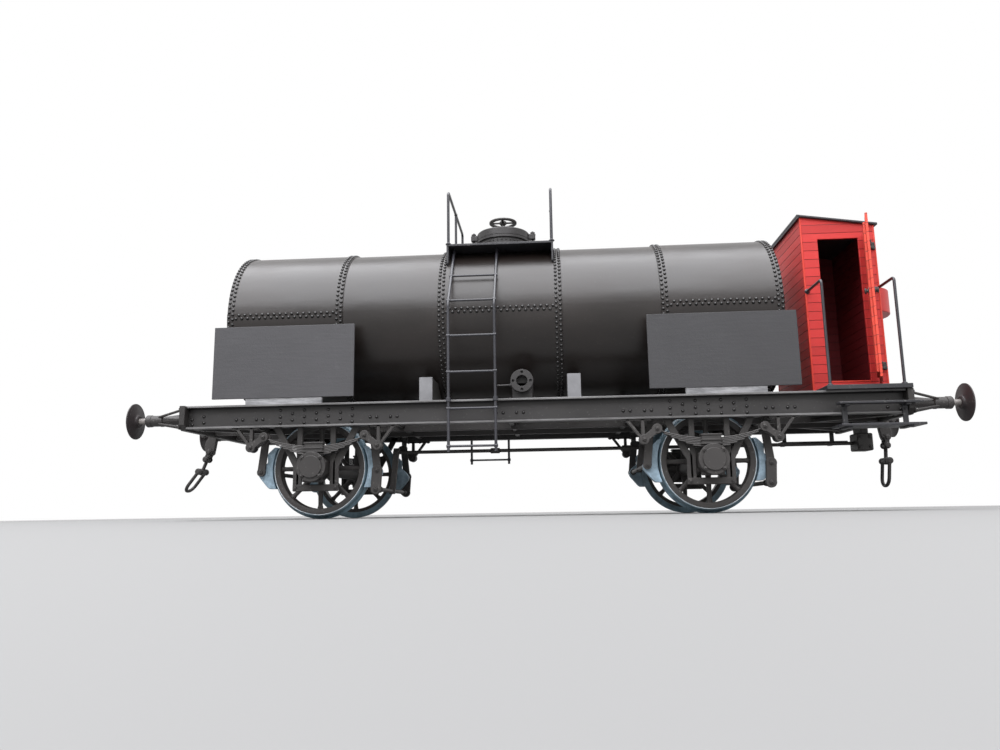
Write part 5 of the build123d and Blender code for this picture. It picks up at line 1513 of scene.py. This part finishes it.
def boards_across(x, y, z, count, gap):
    """Boards side by side between two y values, with a gap at each edge."""
    cuts = np.linspace(*y, count + 1)
    return [block(x, (a + gap, b - gap), z, 0.15) for a, b in zip(cuts, cuts[1:])]


floor_x, floor_z = floor_box[0::3], floor_box[2::3]
boards = boards_across(floor_x, (-floor_box.y1, floor_box.y1), floor_z, BOARDS, BOARD_GAP)
make_piece("cab_floor_boards", boards, board_black, ["cab_floor"])

# %% [markdown]
# A door is two layers of planks, the inner one just fitting the doorway. It is modelled shut on the
# far side. The near one is its mirror image, turned about its hinge line by the angle that its joint
# has left to close, which is how it stands in the photo. Knuckles, straps and handles turn with the
# door; the pins stay on the wall.

# %% Doors and hinges
LEAF_X, LEAF_Z, LEAF_T = (122.3, 143.6), (52.0, 119.4), 1.0
HINGE_X, HINGE_Y = (value / MM for value in joints["far_door_swing"]["pos_m"][:2])
HINGE_Z, HANDLE = (59.6, 112.1), (LEAF_X[0] + 3.6, 87.6)
OPEN = radians(-joints["near_door_swing"]["range_deg"][0])
LEAF_Y = CAB_HALF + 0.05
OUTER_Y, INNER_Y, STRAP_Y = LEAF_Y + LEAF_T, LEAF_Y - LEAF_T, HINGE_Y + 0.3
KNUCKLE_RING = ((0.02, 0.51), (0.02, 0.9), (0.12, 1.0), (1.4, 1.0), (1.48, 0.9), (1.48, 0.51))
PIN = ((-1.4, 0.85), (-1.25, 1.0), (-0.25, 1.0), (-0.1, 0.85), (-0.1, 0.45), (1.75, 0.45), (1.9, 0.3))
DOOR_KNOB = ((0, 1.5), (0.35, 1.5), (0.45, 0.7), (0.95, 0.6), (1.1, 1.15), (1.55, 1.2), (1.75, 0.9), (1.8, 0))
fit_x, fit_z = (DOOR_X[0] + 0.35, DOOR_X[1] - 0.35), (DOOR_Z[0] + 0.3, DOOR_Z[1] - 0.3)
outer_planks = planks(LEAF_X, *LEAF_Z, (LEAF_Y, OUTER_Y), "xz")
leaf_planks = [outer_planks, planks(fit_x, *fit_z, (INNER_Y, LEAF_Y), "xz")]
iron, pins = [], []
for z in HINGE_Z:
    strap_x, strap_z = (LEAF_X[1] - 4.0, HINGE_X - 0.7), (z + 0.05, z + 1.45)
    iron.append(lathe(KNUCKLE_RING, (HINGE_X, HINGE_Y, z), sides=24, closed=True))
    iron.append(block(strap_x, (OUTER_Y - 0.02, STRAP_Y), strap_z, 0.15))
    iron.append(rivets([(LEAF_X[1] - d, STRAP_Y, z + 0.75) for d in (3.2, 1.4)], "y", 0.36, 0.28))
    arm_y, pad_y = (CAB_HALF - 0.1, HINGE_Y - 0.3), (CAB_HALF - 0.05, CAB_HALF + 0.5)
    pins.append(lathe(PIN, (HINGE_X, HINGE_Y, z), sides=20))
    pins.append(block((HINGE_X - 0.8, CAB_X[1] - 0.4), arm_y, (z - 1.35, z - 0.15)))
    pins.append(block((HINGE_X + 1.15, CAB_X[1] - 0.3), pad_y, (z - 1.6, z + 1.8)))
    pins.append(rivets([(CAB_X[1] - 0.95, pad_y[1], z + d) for d in (-1.0, 1.2)], "y", 0.32, 0.25))
for y, axis in ((OUTER_Y - 0.1, "y"), (INNER_Y + 0.1, "-y")):
    iron.append(lathe(DOOR_KNOB, (HANDLE[0], y, HANDLE[1]), axis, 20))
doors = ["cab_door_far", "cab_door_near"]
for part, shapes, paint, nodes in (("planks", leaf_planks, door_red, doors), ("iron", iron, gear_black, [])):
    far = join(shapes)
    near = turned(flip(far, 1), OPEN, HINGE_X, -HINGE_Y)
    make_piece("far_door_" + part, [far], paint, nodes[:1], "far_door")
    make_piece("near_door_" + part, [near], paint, nodes[1:], "near_door")
nodes = ["hinge_pins_near", "hinge_pins_far"]
make_piece("hinge_pin_brackets", pins, gear_black, nodes, twice=True)
print("the near door stands open by", round(np.degrees(OPEN)), "degrees")

# %% [markdown]
# Small things finish the cab: a half-round housing on the outer wall where the brake crank swings,
# hand rails that rise from the landing and turn in to the wall, and two foot boards on flat hangers.

# %% Housing, hand rails and steps
crank, grab = extent("crank_box"), extent("grab_rails")
GRAB_R, GRAB_TOP = 0.6, 93.0
BOSS = ((0, 1.15), (0.35, 1.15), (0.55, 0.95), (0.8, 0.62))
STEP_X, HANGER_X, HANGER_T = (118.6, 150.6), (122.0, 145.2), 0.9
(UPPER_IN, UPPER_OUT, UPPER_Z), (LOWER_IN, LOWER_OUT, LOWER_Z) = (43.6, 47.6, 41.4), (36.0, 48.4, 32.6)
a = np.linspace(-pi / 2, pi / 2, 41)
outline = np.stack([CAB_X[1] - 0.05 + crank.y1 * np.cos(a), crank.y1 * np.sin(a)], -1)
housing = [plate(outline, crank.z0, crank.z1, "xy", 0.3)]
make_piece("crank_housing", housing, crank_red, ["crank_box"], sharp=40)

shapes = []
y = grab.y1 - GRAB_R
for x in (grab.x0 + GRAB_R, grab.x1 - GRAB_R):
    path = bent([(x, y, CAB_FLOOR_Z), (x, y, GRAB_TOP), (x, CAB_HALF - 0.1, GRAB_TOP)], 1.6)
    shapes.append(sweep(path, circle(GRAB_R), (1, 0, 0)))
    shapes.append(lathe(BOSS, (x, y, CAB_FLOOR_Z - 0.05), sides=18))
    shapes.append(lathe(BOSS, (x, CAB_HALF - 0.05, GRAB_TOP), "y", 18))
make_piece("grab_rails_bent", shapes, rod_black, ["grab_rails"], twice=True)

shapes = boards_across(STEP_X, (UPPER_IN, UPPER_OUT), (UPPER_Z, UPPER_Z + 0.9), 1, 0.03)
shapes += boards_across(STEP_X, (LOWER_IN, LOWER_OUT), (LOWER_Z, LOWER_Z + 1.0), 3, 0.03)
strap_y = SOLE_EDGE + HANGER_T
for x in HANGER_X:
    wide = about(x, 1)
    shapes.append(block(wide, (SOLE_EDGE, strap_y), (LOWER_Z + 0.1, UPPER_Z + 0.5), 0.15))
    shapes.append(block(wide, (SOLE_EDGE, UPPER_OUT - 0.8), (UPPER_Z - 0.7, UPPER_Z + 0.02)))
    shapes.append(block(wide, (LOWER_IN + 2, LOWER_OUT - 1.4), (LOWER_Z - 0.7, LOWER_Z + 0.02)))
    shapes.append(rivets((x, strap_y, 39.4), "y", 0.5, 0.4))
    shapes.append(rivets([(x, y, LOWER_Z + 1.0) for y in (39.5, 44.8)], "z", 0.42, 0.3))
make_piece("foot_steps", shapes, board_black, ["steps_near", "steps_far"], twice=True)

# %% [markdown]
# A plain floor lies under the car, and a white world round it. The floor is pale grey near the car
# and fades into the white further out, but only for the rays that show the background: from the
# camera, mirrored, or through something clear. For all other rays, which light the car, the floor
# stays grey and the world is dimmer, so that the black paint keeps its depth.

# %% Floor and world
FLOOR_M, FADE, FILL = 3.0, (430, 1150), 0.5
FLOOR_GREY, WHITE = (0.18, 0.18, 0.178, 1), (1, 1, 1, 1)
BACKGROUND_RAYS = ("Is Camera Ray", "Is Glossy Ray", "Is Transmission Ray")


def background_rays(paint):
    """1 for rays from the camera, mirrored ones and those that pass through, 0 for all others."""
    rays = paint.node("ShaderNodeLightPath").socket.node.outputs
    camera, mirrored, passing = (Signal(paint, rays[kind]) for kind in BACKGROUND_RAYS)
    return camera | mirrored | passing


def floor_paint():
    """Pale grey that fades into white between the two distances of FADE, for background rays."""
    paint = Paint("pale plain floor")
    x, y = paint.parts()[:2]
    away = (x * x + y * y).math("SQRT").step(*FADE)
    grey = paint.node("ShaderNodeBsdfPrincipled", None, {"Base Color": FLOOR_GREY, "Roughness": 0.8})
    white = paint.node("ShaderNodeEmission", None, {"Color": WHITE, "Strength": 1.0})
    return paint.output(paint.node("ShaderNodeMixShader", None, [away * background_rays(paint), grey, white]))


def studio_world():
    """White at full strength for background rays, and at FILL for the light on the car."""
    paint = Paint("pale studio", "worlds")
    strength = background_rays(paint) * (1 - FILL) + FILL
    white = paint.node("ShaderNodeBackground", None, {"Color": WHITE, "Strength": strength})
    return paint.output(white, "ShaderNodeOutputWorld")


mesh = bpy.data.meshes.new("floor")
corners = np.array([(-1, -1, 0), (1, -1, 0), (1, 1, 0), (-1, 1, 0)]) * FLOOR_M / 2
mesh.from_pydata(corners.tolist(), [], [(0, 1, 2, 3)])
mesh.materials.append(floor_paint())
floor = bpy.data.objects.new("floor", mesh)
bpy.context.scene.collection.objects.link(floor)
bpy.context.scene.world = studio_world()
print("the floor fades from", FADE[0], "to", FADE[1], "mm")

# %% [markdown]
# One large soft light hangs over the car towards the camera, and gives the tank its long highlight.
# Two weak ones fill the sides, and stay out of the mirror images. Lights and the camera are put in
# place in the same way, by a matrix whose columns are their three directions and their place.

# %% Lights
AIM = (0, 0, 60)


def put(thing, directions, place):
    """Puts an object at a place in millimetres with its x, y and z along three directions."""
    columns = np.column_stack([*directions, np.multiply(place, MM)])
    thing.matrix_world = Matrix([*columns.tolist(), (0, 0, 0, 1)])
    bpy.context.scene.collection.objects.link(thing)


def soft_box(name, place, size, watts, colour=(1, 1, 1), mirrored=False):
    """A square area light at a place in millimetres, aimed at the car."""
    light = bpy.data.lights.new(name, "AREA")
    light.size = size * MM
    light.energy = watts
    light.color = colour
    box = bpy.data.objects.new(name, light)
    box.visible_glossy = mirrored
    put(box, frames_along(np.subtract(place, AIM))[0], place)


soft_box("overhead", (-110, -340, 1000), 1600, 46.0, (0.96, 0.965, 1.0), mirrored=True)
soft_box("front fill", (200, -1000, 520), 800, 4.4)
soft_box("back fill", (-200, 1000, 520), 800, 4.0)
print("lights", len(bpy.data.lights))

# %% [markdown]
# The camera stands nearly where the photo's did, only just above the floor, and looks slightly up.
# Its angles were solved from known points of the car. They give the direction it looks in, and the
# picture's right and down, turned by the roll.

# %% Camera
PLACE, YAW, PITCH, ROLL = (6.97, -361.47, 2.0), -0.0667, 0.1711, 0.0155
FOCAL_PX, WIDTH_PX, SENSOR_MM = 789.83, 1000, 36.0
forward = np.array([sin(YAW) * cos(PITCH), cos(YAW) * cos(PITCH), sin(PITCH)])
right = np.array([cos(YAW), -sin(YAW), 0])
down = np.cross(forward, right)
picture_right = right * cos(ROLL) + down * sin(ROLL)
picture_down = down * cos(ROLL) - right * sin(ROLL)
lens = bpy.data.cameras.new("photo camera")
lens.sensor_width = SENSOR_MM
lens.lens = SENSOR_MM * FOCAL_PX / WIDTH_PX
lens.clip_start = 0.002
camera = bpy.data.objects.new("photo camera", lens)
put(camera, (picture_right, -picture_down, -forward), PLACE)
bpy.context.scene.camera = camera
bpy.context.scene.view_settings.view_transform = "Standard"
print("lens", round(lens.lens, 2), "mm")
